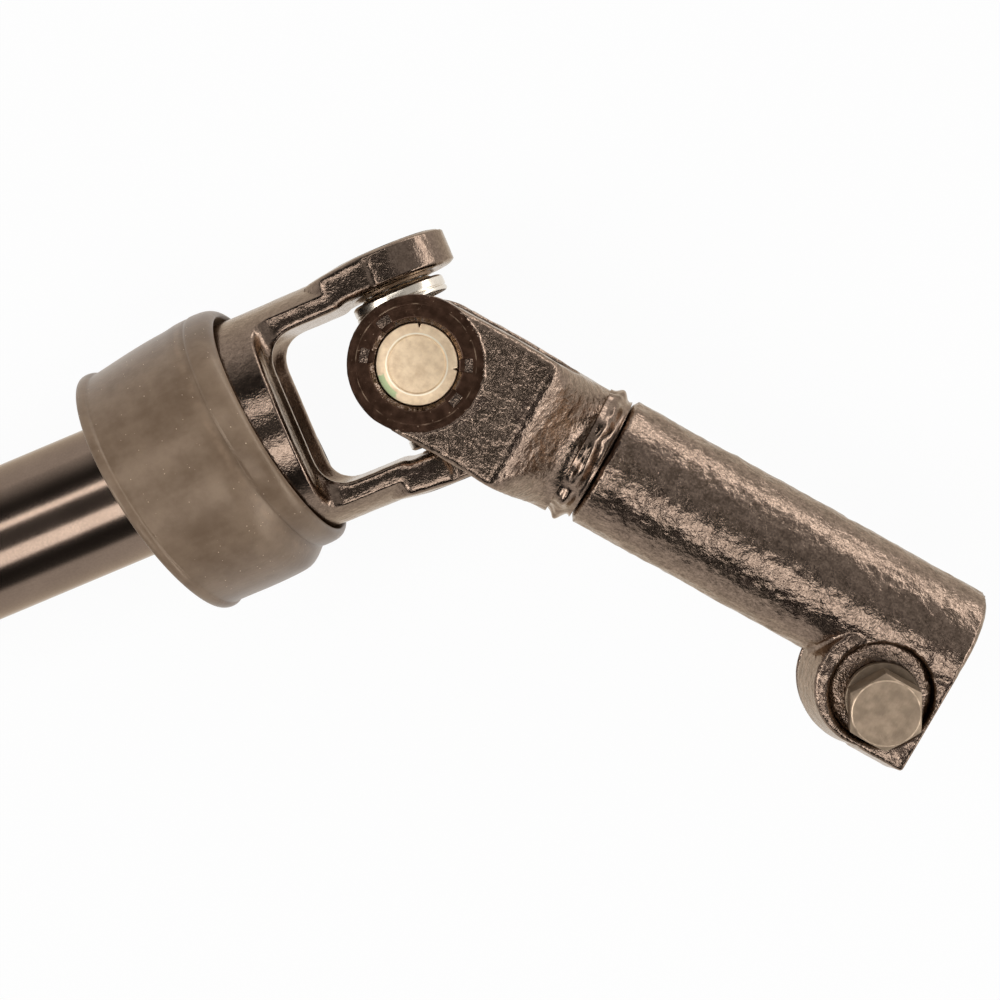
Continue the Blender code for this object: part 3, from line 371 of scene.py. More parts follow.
cloudedLooks = {    # cloud and grain are the size and detail of a noise
    "brightSteel": {
        "dark": (0.66, 0.58, 0.48), "light": (0.84, 0.77, 0.67), "metal": 1.0, "rough": (0.16, 0.36),
        "cloud": (3.0, 3.0), "grain": (0.6, 2.0), "bump": 0.01,
    },
    "crossSteel": {
        "dark": (0.10, 0.075, 0.058), "light": (0.24, 0.19, 0.15), "metal": 0.9, "rough": (0.28, 0.43),
        "cloud": (3.0, 4.0), "edges": (0.3, 0.7), "grain": (0.8, 3.0), "bump": 0.05,
    },
    "nylon": {
        "dark": (0.52, 0.48, 0.40), "light": (0.66, 0.62, 0.52), "metal": 0.0, "rough": (0.40, 0.60),
        "cloud": (4.0, 4.0), "grain": (0.7, 3.0), "bump": 0.02,
    },
    "sealRubber": {
        "dark": (0.020, 0.018, 0.017), "light": (0.040, 0.036, 0.033), "metal": 0.0, "rough": (0.50, 0.70),
        "cloud": (4.0, 4.0), "grain": (0.7, 3.0), "bump": 0.02,
    },
}


def clouded(name):
    look = cloudedLooks[name]
    made, start, place = newMaterial(name)
    cloud = place.noise(*look["cloud"])
    if "edges" in look:
        cloud = cloud.between(*look["edges"])
    low, high = look["rough"]
    surface(start, {
        "Base Color": cloud.mixed(colour(look["dark"]), colour(look["light"])),
        "Metallic": look["metal"],
        "Roughness": cloud * (high - low) + low,
    }, place.noise(*look["grain"]), look["bump"])
    return made


finishes = {name: blackPaint(name) for name in paintLooks}
finishes.update({name: clouded(name) for name in cloudedLooks})
finishes.update({
    "machinedEar": machinedEar(),
    "cupSteel": cupSteel("cupSteel", False),
    "paintedCup": cupSteel("paintedCup", True),
    "boltSteel": boltSteel(),
    "bootRubber": bootRubber(),
})
print("finishes made:", len(finishes))


# Mesh tools; all sizes below are in millimetres

allSmooth = 180    # degrees, an angle that leaves no edge sharp


def softened(points, radius, steps=4, closed=False):
    # each corner of a line becomes a small curve
    count = len(points)
    made = []
    for i, point in enumerate(points):
        if not closed and i in (0, count - 1):
            made.append(point)
            continue
        here = Vector(point)
        before = Vector(points[i - 1]) - here
        after = Vector(points[(i + 1) % count]) - here
        cut = min(radius, 0.45 * before.length, 0.45 * after.length)
        start = here + before.normalized() * cut
        end = here + after.normalized() * cut
        for step in range(steps + 1):
            way = step / steps
            made.append(tuple(start * (1 - way) ** 2 + here * 2 * way * (1 - way) + end * way ** 2))
    return made


def gridMesh(rows, columns, point, closedRows=False, closedColumns=True):
    # point(i, j) gives a place for each row and column
    bm = bmesh.new()
    grid = [[bm.verts.new(point(i, j)) for j in range(columns)] for i in range(rows)]
    for i in range(rows if closedRows else rows - 1):
        for j in range(columns if closedColumns else columns - 1):
            below, beside = (i + 1) % rows, (j + 1) % columns
            bm.faces.new((grid[i][j], grid[i][beside], grid[below][beside], grid[below][j]))
    bmesh.ops.remove_doubles(bm, verts=bm.verts, dist=0.002)
    bmesh.ops.recalc_face_normals(bm, faces=bm.faces)
    return bm


def around(x, radius, turn):
    # a place at this angle about X
    return x, radius * math.cos(turn), radius * math.sin(turn)


def lathe(profile, segments):
    # a closed line of (x, radius) points turned about X
    def point(i, j):
        return around(*profile[i], math.tau * j / segments)
    return gridMesh(len(profile), segments, point, True)


def closeEnds(bm):
    bmesh.ops.holes_fill(bm, edges=[edge for edge in bm.edges if edge.is_boundary])


def addPiece(name, shape, place, body, finish, replaced=(), sharp=38):
    if isinstance(shape, bmesh.types.BMesh):
        mesh = bpy.data.meshes.new(name)
        shape.to_mesh(mesh)
        shape.free()
    else:
        mesh = shape
    mesh.transform(Matrix.Scale(mm, 4))
    mesh.shade_smooth()
    mesh.set_sharp_from_angle(angle=math.radians(sharp))
    mesh.materials.clear()
    mesh.materials.append(finishes[finish])
    made = newObject(name, mesh)
    made.matrix_world = place
    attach(made, body)
    if replaced:
        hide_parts(*replaced)
    return made


lumpHash = {
    "primes": (73856093, 19349663, 83492791), "spread": 2654435761, "offset": 12345, "stir": 2246822519,
}


def lumps(points, size, seed):
    # smooth random field from -1 to 1, one lump per size
    cell = points / size + seed * 17.3
    base = np.floor(cell).astype(np.int64)
    part = cell - base
    part = part * part * (3 - 2 * part)
    total = np.zeros(len(points))
    first, second, third = lumpHash["primes"]
    for corner in range(8):
        step = np.array([corner & 1, corner >> 1 & 1, corner >> 2 & 1])
        index = base + step
        mixed = (index[:, 0] * first) ^ (index[:, 1] * second) ^ (index[:, 2] * third)
        mixed = (mixed * lumpHash["spread"] + lumpHash["offset"]) & 0xFFFFFFFF
        mixed = ((mixed ^ (mixed >> 15)) * lumpHash["stir"]) & 0xFFFFFFFF
        weight = np.prod(np.where(step == 1, part, 1 - part), axis=1)
        total += weight * (mixed / 0xFFFFFFFF * 2 - 1)
    return total


def readPoints(mesh, what="co"):
    values = np.empty(len(mesh.vertices) * 3)
    mesh.vertices.foreach_get(what, values)
    return values.reshape(-1, 3)


def writePoints(mesh, points):
    mesh.vertices.foreach_set("co", points.ravel())
    mesh.update()


def snapRound(points, normals, axis, radius, centre=(0, 0), low=-1e3, reach=0.35):
    # flats left by the CAD facets go back to the true round about an axis
    others = [i for i in range(3) if i != axis]
    offset = points[:, others] - np.array(centre)
    distance = np.linalg.norm(offset, axis=1)
    outward = offset / np.maximum(distance, 1e-6)[:, None]
    aim = radius(points[:, axis]) if callable(radius) else radius
    facing = np.abs((normals[:, others] * outward).sum(axis=1)) > 0.8
    near = facing & (np.abs(distance - aim) < reach) & (points[:, axis] > low)
    moved = np.array(centre) + outward * (np.zeros(len(points)) + aim)[:, None]
    for column, other in enumerate(others):
        points[near, other] = moved[near, column]


def denseCopy(node, place, voxel):
    # even mesh over a CAD solid, in its own frame and in millimetres
    copy = frame["nodes"][node].data.copy()
    copy.transform(place.inverted())
    copy.transform(Matrix.Scale(1 / mm, 4))
    source = newObject(node + "Source", copy)
    remesh = source.modifiers.new("skin", "REMESH")
    remesh.mode = "VOXEL"
    remesh.voxel_size = voxel
    depsgraph = bpy.context.evaluated_depsgraph_get()
    mesh = bpy.data.meshes.new_from_object(source.evaluated_get(depsgraph))
    bpy.data.objects.remove(source)
    return mesh


def forged(node, place, voxel, soft, rounds, shaping):
    # dense mesh over a CAD solid, its rounds made true, its edges softened and its skin hammered
    mesh = denseCopy(node, place, voxel)
    points = readPoints(mesh)
    edges = np.empty(len(mesh.edges) * 2, np.int64)
    mesh.edges.foreach_get("vertices", edges)
    edges = edges.reshape(-1, 2)
    count = len(points)
    links = np.bincount(edges.ravel(), minlength=count)[:, None]

    def snapAll():
        normals = readPoints(mesh, "normal")
        for settings in rounds:
            snapRound(points, normals, **settings)
        return normals

    for _ in range(2):
        snapAll()
        for _ in range(soft):
            beside = np.zeros_like(points)
            for column in range(3):
                beside[:, column] = np.bincount(edges[:, 0], points[edges[:, 1], column], count)
                beside[:, column] += np.bincount(edges[:, 1], points[edges[:, 0], column], count)
            points += 0.5 * (beside / links - points)
        writePoints(mesh, points)
    shaping(points, snapAll())
    writePoints(mesh, points)
    print(node, "forged,", count, "points")
    return mesh


def addForging(name, node, place, body, form, rounds, shaping, finish="forgedPaint"):
    mesh = forged(node, place, form["voxel"], form["soft"], rounds, shaping)
    addPiece(name, mesh, place, body, finish, [node], allSmooth)


def hammered(points, normals, grain, spared):
    # grain is (size, depth) pairs; spared is 1 where the skin stays smooth
    depth = np.zeros(len(points))
    for seed, (size, deep) in enumerate(grain):
        depth += deep * lumps(points, size, seed) / 2
    points += normals * (depth * (1 - spared))[:, None]


def openEar(points, ears, ring):
    # clears the ear's counterbore, so that the machined ring can sit in it
    across = [i for i in range(3) if i != ears]
    radius = np.linalg.norm(points[:, across], axis=1)
    height = np.abs(points[:, ears])
    inside = (radius < ring) & (radius > ear["bore"] - 0.3) & (height > ear["face"] - 2.0)
    push = inside & (radius < ear["clear"]) & (height > ear["face"] - 1.5)
    for column in across:
        points[push, column] *= (ear["clear"] / radius)[push]
    sink = inside & (height > ear["face"] - 0.4)
    points[sink, ears] = np.sign(points[sink, ears]) * (ear["face"] - 0.4)


# Tube yoke

tubeYoke = {
    "voxel": 0.5, "soft": 9, "grain": [(2.4, 0.10), (1.1, 0.08)],
    "hub": 27.5, "arm": 27.9, "window": 32.5, "tip": 15.5, "boss": 13.5,
}


def tubeYokeRadius(x):
    return np.interp(x, (-tubeYoke["window"], 0), (tubeYoke["hub"], tubeYoke["arm"]))


def tubeYokeSkin(points, normals):
    openEar(points, 1, tubeYoke["boss"] - 0.6)
    hub = points[:, 0] < -tubeYoke["window"]
    hammered(points, normals, tubeYoke["grain"], np.where(hub, 0.3, 0.0))


yokeRounds = [
    {"axis": 0, "radius": tubeYokeRadius},
    {"axis": 1, "radius": tubeYoke["tip"], "reach": 0.3},
    {"axis": 1, "radius": ear["bore"], "reach": 0.3},
]
addForging("tubeYokeCasting", "lower_tube_yoke", tubeFrame, "tube_assembly", tubeYoke, yokeRounds,
           tubeYokeSkin, "yokePaint")


# Fork, and the skin that it shares with the upper yokes

fork = {
    "voxel": 0.5, "soft": 4, "grain": [(3.4, 0.20), (1.7, 0.18), (1.0, 0.05)],
    "ear": 15.6, "arm": 15.8, "out": 28.9, "flat": 28.5, "bend": 26.0, "neck": 41.5, "edge": 1.8,
    "hub": 16.2, "neckShift": 0.9,
}


def forkSections(points, normals, hub, neckStart, neckShift):
    # moves the skin onto the smooth section that runs from the flat arm into the round neck
    x = points[:, 0]
    bent = np.clip((x - fork["flat"] / 2) / (neckStart - fork["flat"] / 2), 0, 1)
    y = points[:, 1] + neckShift * bent * bent * (3 - 2 * bent)
    way = np.clip((x - fork["bend"]) / (neckStart - fork["bend"]), 0, 1)
    way = way * way * (3 - 2 * way)
    arm = fork["ear"] + (fork["arm"] - fork["ear"]) * np.clip(x / fork["flat"], 0, 1)
    width = arm + (hub - arm) * way
    height = fork["out"] + (hub - fork["out"]) * way
    corner = fork["edge"] + (hub - fork["edge"]) * way
    side = np.stack([np.abs(y) - (width - corner), np.abs(points[:, 2]) - (height - corner)], 1)
    beyond = np.maximum(side, 0)
    length = np.linalg.norm(beyond, axis=1)
    distance = length + np.minimum(side.max(axis=1), 0) - corner
    near = (x > 2) & (np.abs(distance) < 2.2) & (length > 1e-3)
    outward = beyond / np.maximum(length, 1e-6)[:, None] * np.sign(np.stack([y, points[:, 2]], 1))
    near &= (outward * normals[:, 1:]).sum(axis=1) > 0.3
    points[near, 1:] -= outward[near] * distance[near, None]


def forkSkin(hub, neckStart, neckShift, grain):
    def shaping(points, normals):
        forkSections(points, normals, hub, neckStart, neckShift)
        openEar(points, 2, ear["ring"])
        across = np.linalg.norm(points[:, :2], axis=1)
        spared = (across < fork["ear"] - 0.2) & (np.abs(points[:, 2]) > ear["face"] - 3)
        hammered(points, normals, grain, spared * 1.0)
    return shaping


forkRounds = [
    {"axis": 2, "radius": fork["ear"], "reach": 0.4},
    {"axis": 2, "radius": ear["bore"], "reach": 0.3},
]
forkShape = forkSkin(fork["hub"], fork["neck"], fork["neckShift"], fork["grain"])
addForging("forkForging", "lower_fork", forkFrame, "lower_coupling", fork, forkRounds, forkShape)


# Clamp coupling

coupling = {
    "voxel": 0.5, "soft": 3, "grain": [(4.2, 0.28), (1.9, 0.24), (1.0, 0.08)],
    "radius": 16.2, "end": 143.0, "bore": 9.6, "depth": 42.0, "teeth": 22, "tooth": 0.7,
    "boreReach": 11.4, "boreClear": 10.9,    # points within the reach go out to the clear radius
    "boss": 13.99, "bossBack": 14.99, "bossOut": 14.8, "bossHalf": 15.4, "bossDraft": 2.8,
    "recess": 11.99, "recessBack": 13.09, "recessOut": 15.3, "recessDepth": 4.6,
}
bossCentre = (coupling["end"] - coupling["bossBack"], -coupling["bossOut"])
recessCentre = (coupling["end"] - coupling["recessBack"], -coupling["recessOut"])


def couplingSkin(points, normals):
    radius = np.linalg.norm(points[:, 1:], axis=1)
    bore = (radius < coupling["boreReach"]) & (points[:, 0] > coupling["end"] - coupling["depth"])
    for column in (1, 2):
        points[bore, column] *= (coupling["boreClear"] / np.maximum(radius, 1.0))[bore]
    fromRecess = np.hypot(points[:, 0] - recessCentre[0], points[:, 1] - recessCentre[1])
    recess = fromRecess < coupling["recess"] + 0.3
    smooth = np.where(recess & (points[:, 2] > 2), 0.8, 0.0)
    bossSide = (np.abs(normals[:, 2]) < 0.4) * (points[:, 1] < -coupling["radius"] - 0.5)
    smooth = np.maximum(smooth, 0.75 * bossSide)
    smooth = np.maximum(smooth, 0.9 * (points[:, 0] > coupling["end"] - 0.6) * (normals[:, 0] > 0.7))
    hammered(points, normals, coupling["grain"], np.where(bore, 1.0, smooth))


def bossRadius(z):
    return coupling["boss"] + coupling["bossDraft"] * (1 - np.abs(z) / coupling["bossHalf"])


couplingRounds = [
    {"axis": 0, "radius": coupling["radius"], "reach": 0.3},
    {"axis": 2, "radius": bossRadius, "centre": bossCentre, "reach": 0.3},
    {"axis": 2, "radius": coupling["recess"], "centre": recessCentre, "low": 2, "reach": 0.3},
]
addForging("couplingForging", "clamp_coupling", forkFrame, "lower_coupling", coupling, couplingRounds,
           couplingSkin)


# Upper yokes

upper = {
    "voxel": 0.6, "soft": 3, "grain": [(3.6, 0.20), (1.9, 0.12)],
    "hub": 14.5, "neck": 42.0, "clamp": 16.0, "end": 82.0, "depth": 36.0,
}
shaftYokeShape = forkSkin(upper["hub"], upper["neck"], 0.0, upper["grain"])
addForging("shaftYokeForging", "upper_shaft_yoke", shaftYokeFrame, "inner_shaft_set", upper, forkRounds,
           shaftYokeShape)
clampYokeShape = forkSkin(upper["clamp"], upper["neck"], 0.0, upper["grain"])
addForging("clampYokeForging", "upper_clamp_yoke", clampFrame, "upper_clamp", upper, forkRounds,
           clampYokeShape)


# Machined rings round the cups, with their stakes

stakes = {
    "angles": (-103.6, -62.4, 65.8, 109.7), "width": 2.8, "tip": 9.6, "reach": 12.8, "deep": 0.42,
    "pits": (65.8, 109.7), "pitDeep": 0.75,
}


def earRing(name, place, body, outer):
    columns = 300
    rows = [("in", ear["face"] - ear["counterboreDepth"] - 0.1)] + [("in", h) for h in (28.1, 28.28)]
    rows += [("top", step) for step in (0.12, 0.35, 0.8, 1.6, 2.3, 2.5)]
    rows += [("out", 0.35), ("out", 0.12), ("rim", 28.25), ("rim", 28.0), ("rim", 26.9), ("foot", 26.9)]

    def point(i, j):
        degrees = 360 * j / columns
        inner, pad = ear["counterbore"], 0.0
        for angle in stakes["angles"]:
            away = abs((degrees - angle + 180) % 360 - 180) * math.pi / 180 * inner
            if away < stakes["width"] / 2:
                inner = stakes["tip"]
                pad = stakes["pitDeep"] if angle in stakes["pits"] else stakes["deep"]
                break
        kind, value = rows[i]
        if kind == "in":
            radius, height = inner, value - pad * (value > 27.5)
        elif kind == "top":
            radius = inner + value * (1 if pad == 0 else (stakes["reach"] - inner) / 2.4)
            height = ear["face"] - (pad if value < 2.4 else 0)
        elif kind == "out":
            radius, height = outer - value, ear["face"]
        elif kind == "rim":
            radius, height = outer, value
        else:
            radius, height = ear["counterbore"], value
        return around(height, radius, math.radians(degrees))

    bm = gridMesh(len(rows), columns, point, True)
    addPiece(name, bm, place, body, "machinedEar", sharp=50)


# Bearing cups

cup = {
    "top": 26.3, "radius": 9.25, "mouth": 19.2, "inner": 7.95, "ring": 6.8, "sink": 0.28, "edge": 0.25,
    "notches": (24.9, -68.1), "notchDepth": 1.0, "notchWidth": 3.8,
}


def bearingCup(name, place, body, node, finish):
    top, radius, ring, dish = cup["top"], cup["radius"], cup["ring"], cup["top"] - cup["sink"]
    profile = [(dish, 0.0), (dish, ring - 1.0), (dish - 0.05, ring - 0.7), (dish - 0.05, ring - 0.45)]
    profile += [(top - 0.04, ring - 0.2), (top - 0.02, ring + 0.15), (top - 0.12, ring + 0.35)]
    mouth, inner = cup["mouth"], cup["inner"]
    rim = [(top - 0.12, ring + 0.4), (top - 0.02, radius), (mouth, radius), (mouth, inner)]
    profile += softened(rim, cup["edge"])[1:]
    profile += [(top - 1.9, inner), (top - 1.9, 0.0)]
    segments = 240

    def point(i, j):
        x, r = profile[i]
        degrees = 360 * j / segments
        if r > inner and x > top - 1.6:
            for notch in cup["notches"]:
                away = abs((degrees - notch + 180) % 360 - 180)
                if away < cup["notchWidth"] / 2:
                    r = min(r, radius - cup["notchDepth"])
        return around(x, r, math.radians(degrees))

    addPiece(name, gridMesh(len(profile), segments, point), place, body, finish, [node])


def sealStack(name, place, body, node):
    # bright pressed case with a rolled edge and a lip towards the ear, all in the one bright steel finish
    profile = [(14.3, 6.4), (18.85, 6.4), (18.85, 8.3), (18.5, 8.85), (18.2, 8.9), (18.2, 10.7)]
    profile += [(17.7, 11.35), (15.9, 11.4), (15.7, 11.15), (15.5, 11.15), (15.3, 11.4), (14.6, 11.4)]
    profile += [(14.3, 11.0)]
    bm = lathe(softened(profile, 0.18, 3, True), 120)
    addPiece(name, bm, place, body, "brightSteel", [node])


# Crosses

cross = {"voxel": 0.5, "soft": 3, "trunnion": 6.1, "grain": [(2.5, 0.12)]}
crossRounds = [{"axis": 1, "radius": cross["trunnion"]}, {"axis": 2, "radius": cross["trunnion"]}]


def crossSkin(points, normals):
    hammered(points, normals, cross["grain"], 0.0)


topAndBottom = (("top", (0, 1, 0)), ("bottom", (0, -1, 0)))
nearAndFar = (("near", (0, 0, 1)), ("far", (0, 0, -1)))
turnedOver = (("top", (0, 0, -1)), ("bottom", (0, 0, 1)))    # the shaft yoke's frame is turned about X
earSets = [
    ("tube", tubeFrame, "tube_assembly", topAndBottom, tubeYoke["boss"]),
    ("fork", forkFrame, "lower_coupling", nearAndFar, ear["outer"]),
    ("shaft", shaftYokeFrame, "inner_shaft_set", turnedOver, ear["outer"]),
    ("clamp", clampFrame, "upper_clamp", nearAndFar, ear["outer"]),
]
for prefix, home, body, sides, outer in earSets:
    for side, axis in sides:
        place = home @ along(axis)
        finish = "paintedCup" if (prefix, side) == ("fork", "near") else "cupSteel"
        earRing(prefix + side.title() + "EarRing", place, body, outer)
        bearingCup(prefix + side.title() + "Cup", place, body, f"{prefix}_cup_{side}", finish)
for prefix, home in (("lower", lowerCrossFrame), ("upper", upperFrame)):
    body = prefix + "_cross_set"
    for side, axis in topAndBottom + nearAndFar:
        sealStack(prefix + side.title() + "Seal", home @ along(axis), body, f"{prefix}_seal_{side}")
    addForging(prefix + "CrossForging", prefix + "_cross", home, body, cross, crossRounds, crossSkin,
               "crossSteel")
print("joints dressed")


# Rubber boot

def rubberBoot():
    front, back = boot["front"], boot["back"]
    rows = [(front + 0.1, 28.6), (front, 29.0), (front + 0.2, 29.7), (front + 0.7, 30.3), (front + 1.5, 30.8)]
    rows += [(front + 2.6, 31.1), (front + 4.2, 31.2), (front + 5.3, 31.2), (front + 5.8, 31.15)]
    rows += [(front + 6.05, 31.0), (front + 6.3, 30.85), (front + 6.6, 30.95), (front + 7.0, 31.15)]
    rows += [(front + 7.6, 31.4), (front + 8.4, 31.75), (front + 9.8, 32.3), (front + 11.4, 32.55)]
    rows += [(front + 14.0, 32.6), (front + 17.5, 32.5), (front + 21.0, 32.3), (front + 24.5, 32.0)]
    rows += [(front + 27.5, 31.7), (back - 3.6, 31.5), (back - 2.7, 31.42), (back - 2.45, 31.5)]
    rows += [(back - 2.3, 31.8), (back - 1.9, 32.05), (back - 1.2, 32.2), (back - 0.5, 32.1)]
    rows += [(back - 0.15, 31.9), (back, 31.6), (back, 30.9), (back - 0.15, 29.0), (back - 0.2, 26.2)]
    rows += [(back - 0.7, 25.5), (back - 3.5, 24.6), (back - 6.5, 24.1), (back - 7.2, 23.4)]
    bent = len(rows)    # the rows from here on are true to the shaft
    rows += [(back - 9.6, 18.4), (back - 10.0, 17.35), (54.0, 17.35), (54.0, 27.85), (front + 6.2, 27.85)]
    segments = boot["segments"]

    def point(i, j):
        turn = math.tau * j / segments
        depth, radius = rows[i]
        if i >= bent:
            return around(-depth, radius, turn)
        way = (depth - front) / (back - front)
        skew = math.radians(boot["frontSkew"] + (boot["backSkew"] - boot["frontSkew"]) * way)
        shift = float(np.interp(depth, boot["shiftAt"], boot["shift"]))
        radius -= boot["wave"] * (1 + math.sin(3 * turn + depth * 0.12) * math.sin(5 * turn + 1.0)) / 2
        y, z = radius * math.cos(turn), radius * math.sin(turn)
        return -depth - y * math.tan(skew) - z * math.tan(math.radians(boot["dip"])), y - shift, z

    bm = gridMesh(len(rows), segments, point, True)
    made = addPiece("boot", bm, tubeFrame, "tube_assembly", "bootRubber", ["rubber_boot"], 60)
    smooth = made.modifiers.new("round", "SUBSURF")
    smooth.levels = smooth.render_levels = 1


rubberBoot()


# Tube, wiper cap and welds

tube = {"front": 49.8, "length": 165.0, "radius": 17.0, "wall": 2.5}


def outerTube():
    front, back = -tube["front"], -tube["front"] - tube["length"]
    outside, inside = tube["radius"], tube["radius"] - tube["wall"]
    profile = softened([(front, inside), (front, outside), (back, outside), (back, inside)], 0.5, 4, True)
    bm = lathe(profile, 160)
    addPiece("tube", bm, tubeFrame, "tube_assembly", "tubePaint", ["outer_tube"])
    cap = back - 2.6
    profile = [(cap + 9.0, 17.3), (cap + 9.0, 19.0), (cap + 8.4, 19.4), (cap + 6.2, 19.4), (cap + 5.9, 19.1)]
    profile += [(cap + 5.3, 19.1), (cap + 5.0, 19.4), (cap - 1.8, 19.4), (cap - 2.6, 18.6), (cap - 2.6, 13.6)]
    profile += [(cap - 2.1, 12.9), (cap - 2.5, 11.8), (cap - 2.4, 11.35), (cap - 0.1, 11.35)]
    profile += [(cap - 0.1, 17.3)]
    bm = lathe(softened(profile, 0.25, 3, True), 128)
    addPiece("wiperCap", bm, tubeFrame, "tube_assembly", "sealRubber", ["slip_seal"])


outerTube()

welds = [
    {"name": "forkWeld", "node": "fork_weld_bead", "place": forkFrame, "body": "lower_coupling",
     "start": 41.4, "width": 5.9, "root": 14.6, "crest": 18.0, "ripples": 20},
    {"name": "tubeWeld", "node": "tube_weld_bead", "place": tubeFrame, "body": "tube_assembly",
     "start": -53.0, "width": 3.2, "root": 17.3, "crest": 20.2, "ripples": 22},
    {"name": "shaftWeld", "node": "upper_weld_bead", "place": upperFrame, "body": "inner_shaft_set",
     "start": 47.3, "width": 4.0, "root": 11.3, "crest": 13.4, "ripples": 14},
]
bead = {
    "humps": [(0.40, 0.0, 0.16), (0.80, 0.42, 0.33), (0.30, 1.05, 0.10)],    # height, place across, width
    "wander": 0.20, "pools": 0.10, "lumps": 0.50, "grains": 0.10,
    "flow": 6,    # how far the metal ran smooth
}


def weldBead(weld):
    rows, columns = 34, 420
    across = np.repeat(np.linspace(0, 1, rows), columns)
    turn = np.tile(np.arange(columns) / columns * math.tau, rows)
    spine = np.stack([across * weld["width"], np.cos(turn) * weld["root"], np.sin(turn) * weld["root"]], 1)
    ridge = sum(high * np.exp(-((across - at) / wide) ** 2) for high, at, wide in bead["humps"])
    pools = -0.5 * np.cos(turn * weld["ripples"] + 6.0 * (across - 0.35) ** 2)
    lump = 0.92 - bead["wander"] * np.cos(3 * turn) + bead["lumps"] * lumps(spine, 3.6, 3)
    lump += bead["grains"] * lumps(spine, 1.3, 4) + bead["pools"] * pools
    field = np.clip(ridge * lump, 0.05, 1.28).reshape(rows, columns)
    for _ in range(bead["flow"]):
        field = (field + np.roll(field, 1, 1) + np.roll(field, -1, 1)) / 3
        field[1:-1] = (field[1:-1] + field[:-2] + field[2:]) / 3
    rise = (weld["crest"] - weld["root"]) * field.ravel()

    def point(i, j):
        k = min(i, rows - 1) * columns + j
        radius = weld["root"] + rise[k] if i < rows else weld["root"] - 0.6
        x = weld["start"] + weld["width"] * (across[k] if i < rows else (0.95, 0.05)[i - rows])
        return around(x, radius, turn[k])

    bm = gridMesh(rows + 2, columns, point, True)
    addPiece(weld["name"], bm, weld["place"], weld["body"], "weldPaint", [weld["node"]], allSmooth)


for weld in welds:
    weldBead(weld)


# Splined bore, bolt and spring washer of each clamp

spline = {
    "gap": 9.5,    # degrees, on each side of the slot
    "tooth": [0, 0, 0, 0, 0.25, 0.8, 1, 1, 1, 1, 0.8, 0.25],
}
bolt = {
    "shiftAlong": 1.4, "shiftOut": 0.6, "tilt": 5.0, "lift": 2.6, "flats": 16.0, "head": 6.4, "radius": 5.0,
    "overhang": 3.0, "pitch": 1.5, "chamfer": 1.1, "chamferAngle": 28,
}
washer = {"outer": 8.8, "inner": 6.15, "height": 2.0, "gap": 8.0, "slip": 0.7}


def splineLiner(name, place, body, end, depth):
    steps = len(spline["tooth"])
    columns = coupling["teeth"] * steps + 1
    rows = [(end - depth, 10.95), (end - 0.3, 10.95), (end - 0.12, 10.8)]
    rows += [(end - 0.12, "in"), (end - 0.9, "in"), (end - depth, "in")]

    def point(i, j):
        degrees = -90 + spline["gap"] + (360 - 2 * spline["gap"]) * j / (columns - 1)
        x, radius = rows[i]
        if radius == "in":
            radius = coupling["bore"] + coupling["tooth"] * spline["tooth"][j % steps]
            radius += 0.5 if x > end - 0.2 else 0
        return around(x, radius, math.radians(degrees))

    bm = gridMesh(len(rows), columns, point, True, False)
    closeEnds(bm)
    addPiece(name, bm, place, body, "crossSteel", sharp=35)


def boltHead(under, top):
    # hexagon about X with a chamfered, slightly dished top
    flat = bolt["flats"] / 2
    crown = flat * 0.97
    segments = 192

    def point(i, j):
        degrees = 360 * j / segments
        edge = flat / math.cos(math.radians(degrees % 60 - 30))
        drop = (edge - crown) * math.tan(math.radians(bolt["chamferAngle"])) + 0.22
        rows = [(under, 0.0), (under, edge - 0.15), (under + 0.15, edge), (top - drop - 0.1, edge)]
        rows += [(top - drop, edge - 0.1), (top - 0.12, crown + 0.12), (top, crown - 0.15)]
        rows += [(top - 0.02, crown * 0.6), (top - 0.02, 0.0)]
        return around(*rows[i], math.radians(degrees + 30))

    return gridMesh(9, segments, point)


def boltShank(under, tip):
    columns = 48
    turns = int((under - tip) / bolt["pitch"] * 4)

    def point(i, j):
        x = tip + (under + 0.4 - tip) * i / turns
        phase = (x / bolt["pitch"] + j / columns) % 1.0
        radius = bolt["radius"] - 0.8 * abs(phase * 2 - 1) * (x < 2)
        radius = min(radius, bolt["radius"] - bolt["chamfer"] + (x - tip) * 1.0) if i else 0.0
        return around(x, radius, math.tau * j / columns)

    return gridMesh(turns + 1, columns, point)


def springWasher(seat, middleX, middleY):
    # split ring round Z
    inner, outer, top = washer["inner"], washer["outer"], seat + washer["height"]
    ring = softened([(seat, inner), (seat, outer), (top, outer), (top, inner)], 0.25, 3, True)
    steps = 120

    def point(i, j):
        height, radius = ring[i]
        turn = math.radians(washer["gap"] / 2 + (360 - washer["gap"]) * j / (steps - 1))
        return middleX + radius * math.cos(turn), middleY + radius * math.sin(turn), height

    bm = gridMesh(len(ring), steps, point, True, False)
    closeEnds(bm)
    return bm


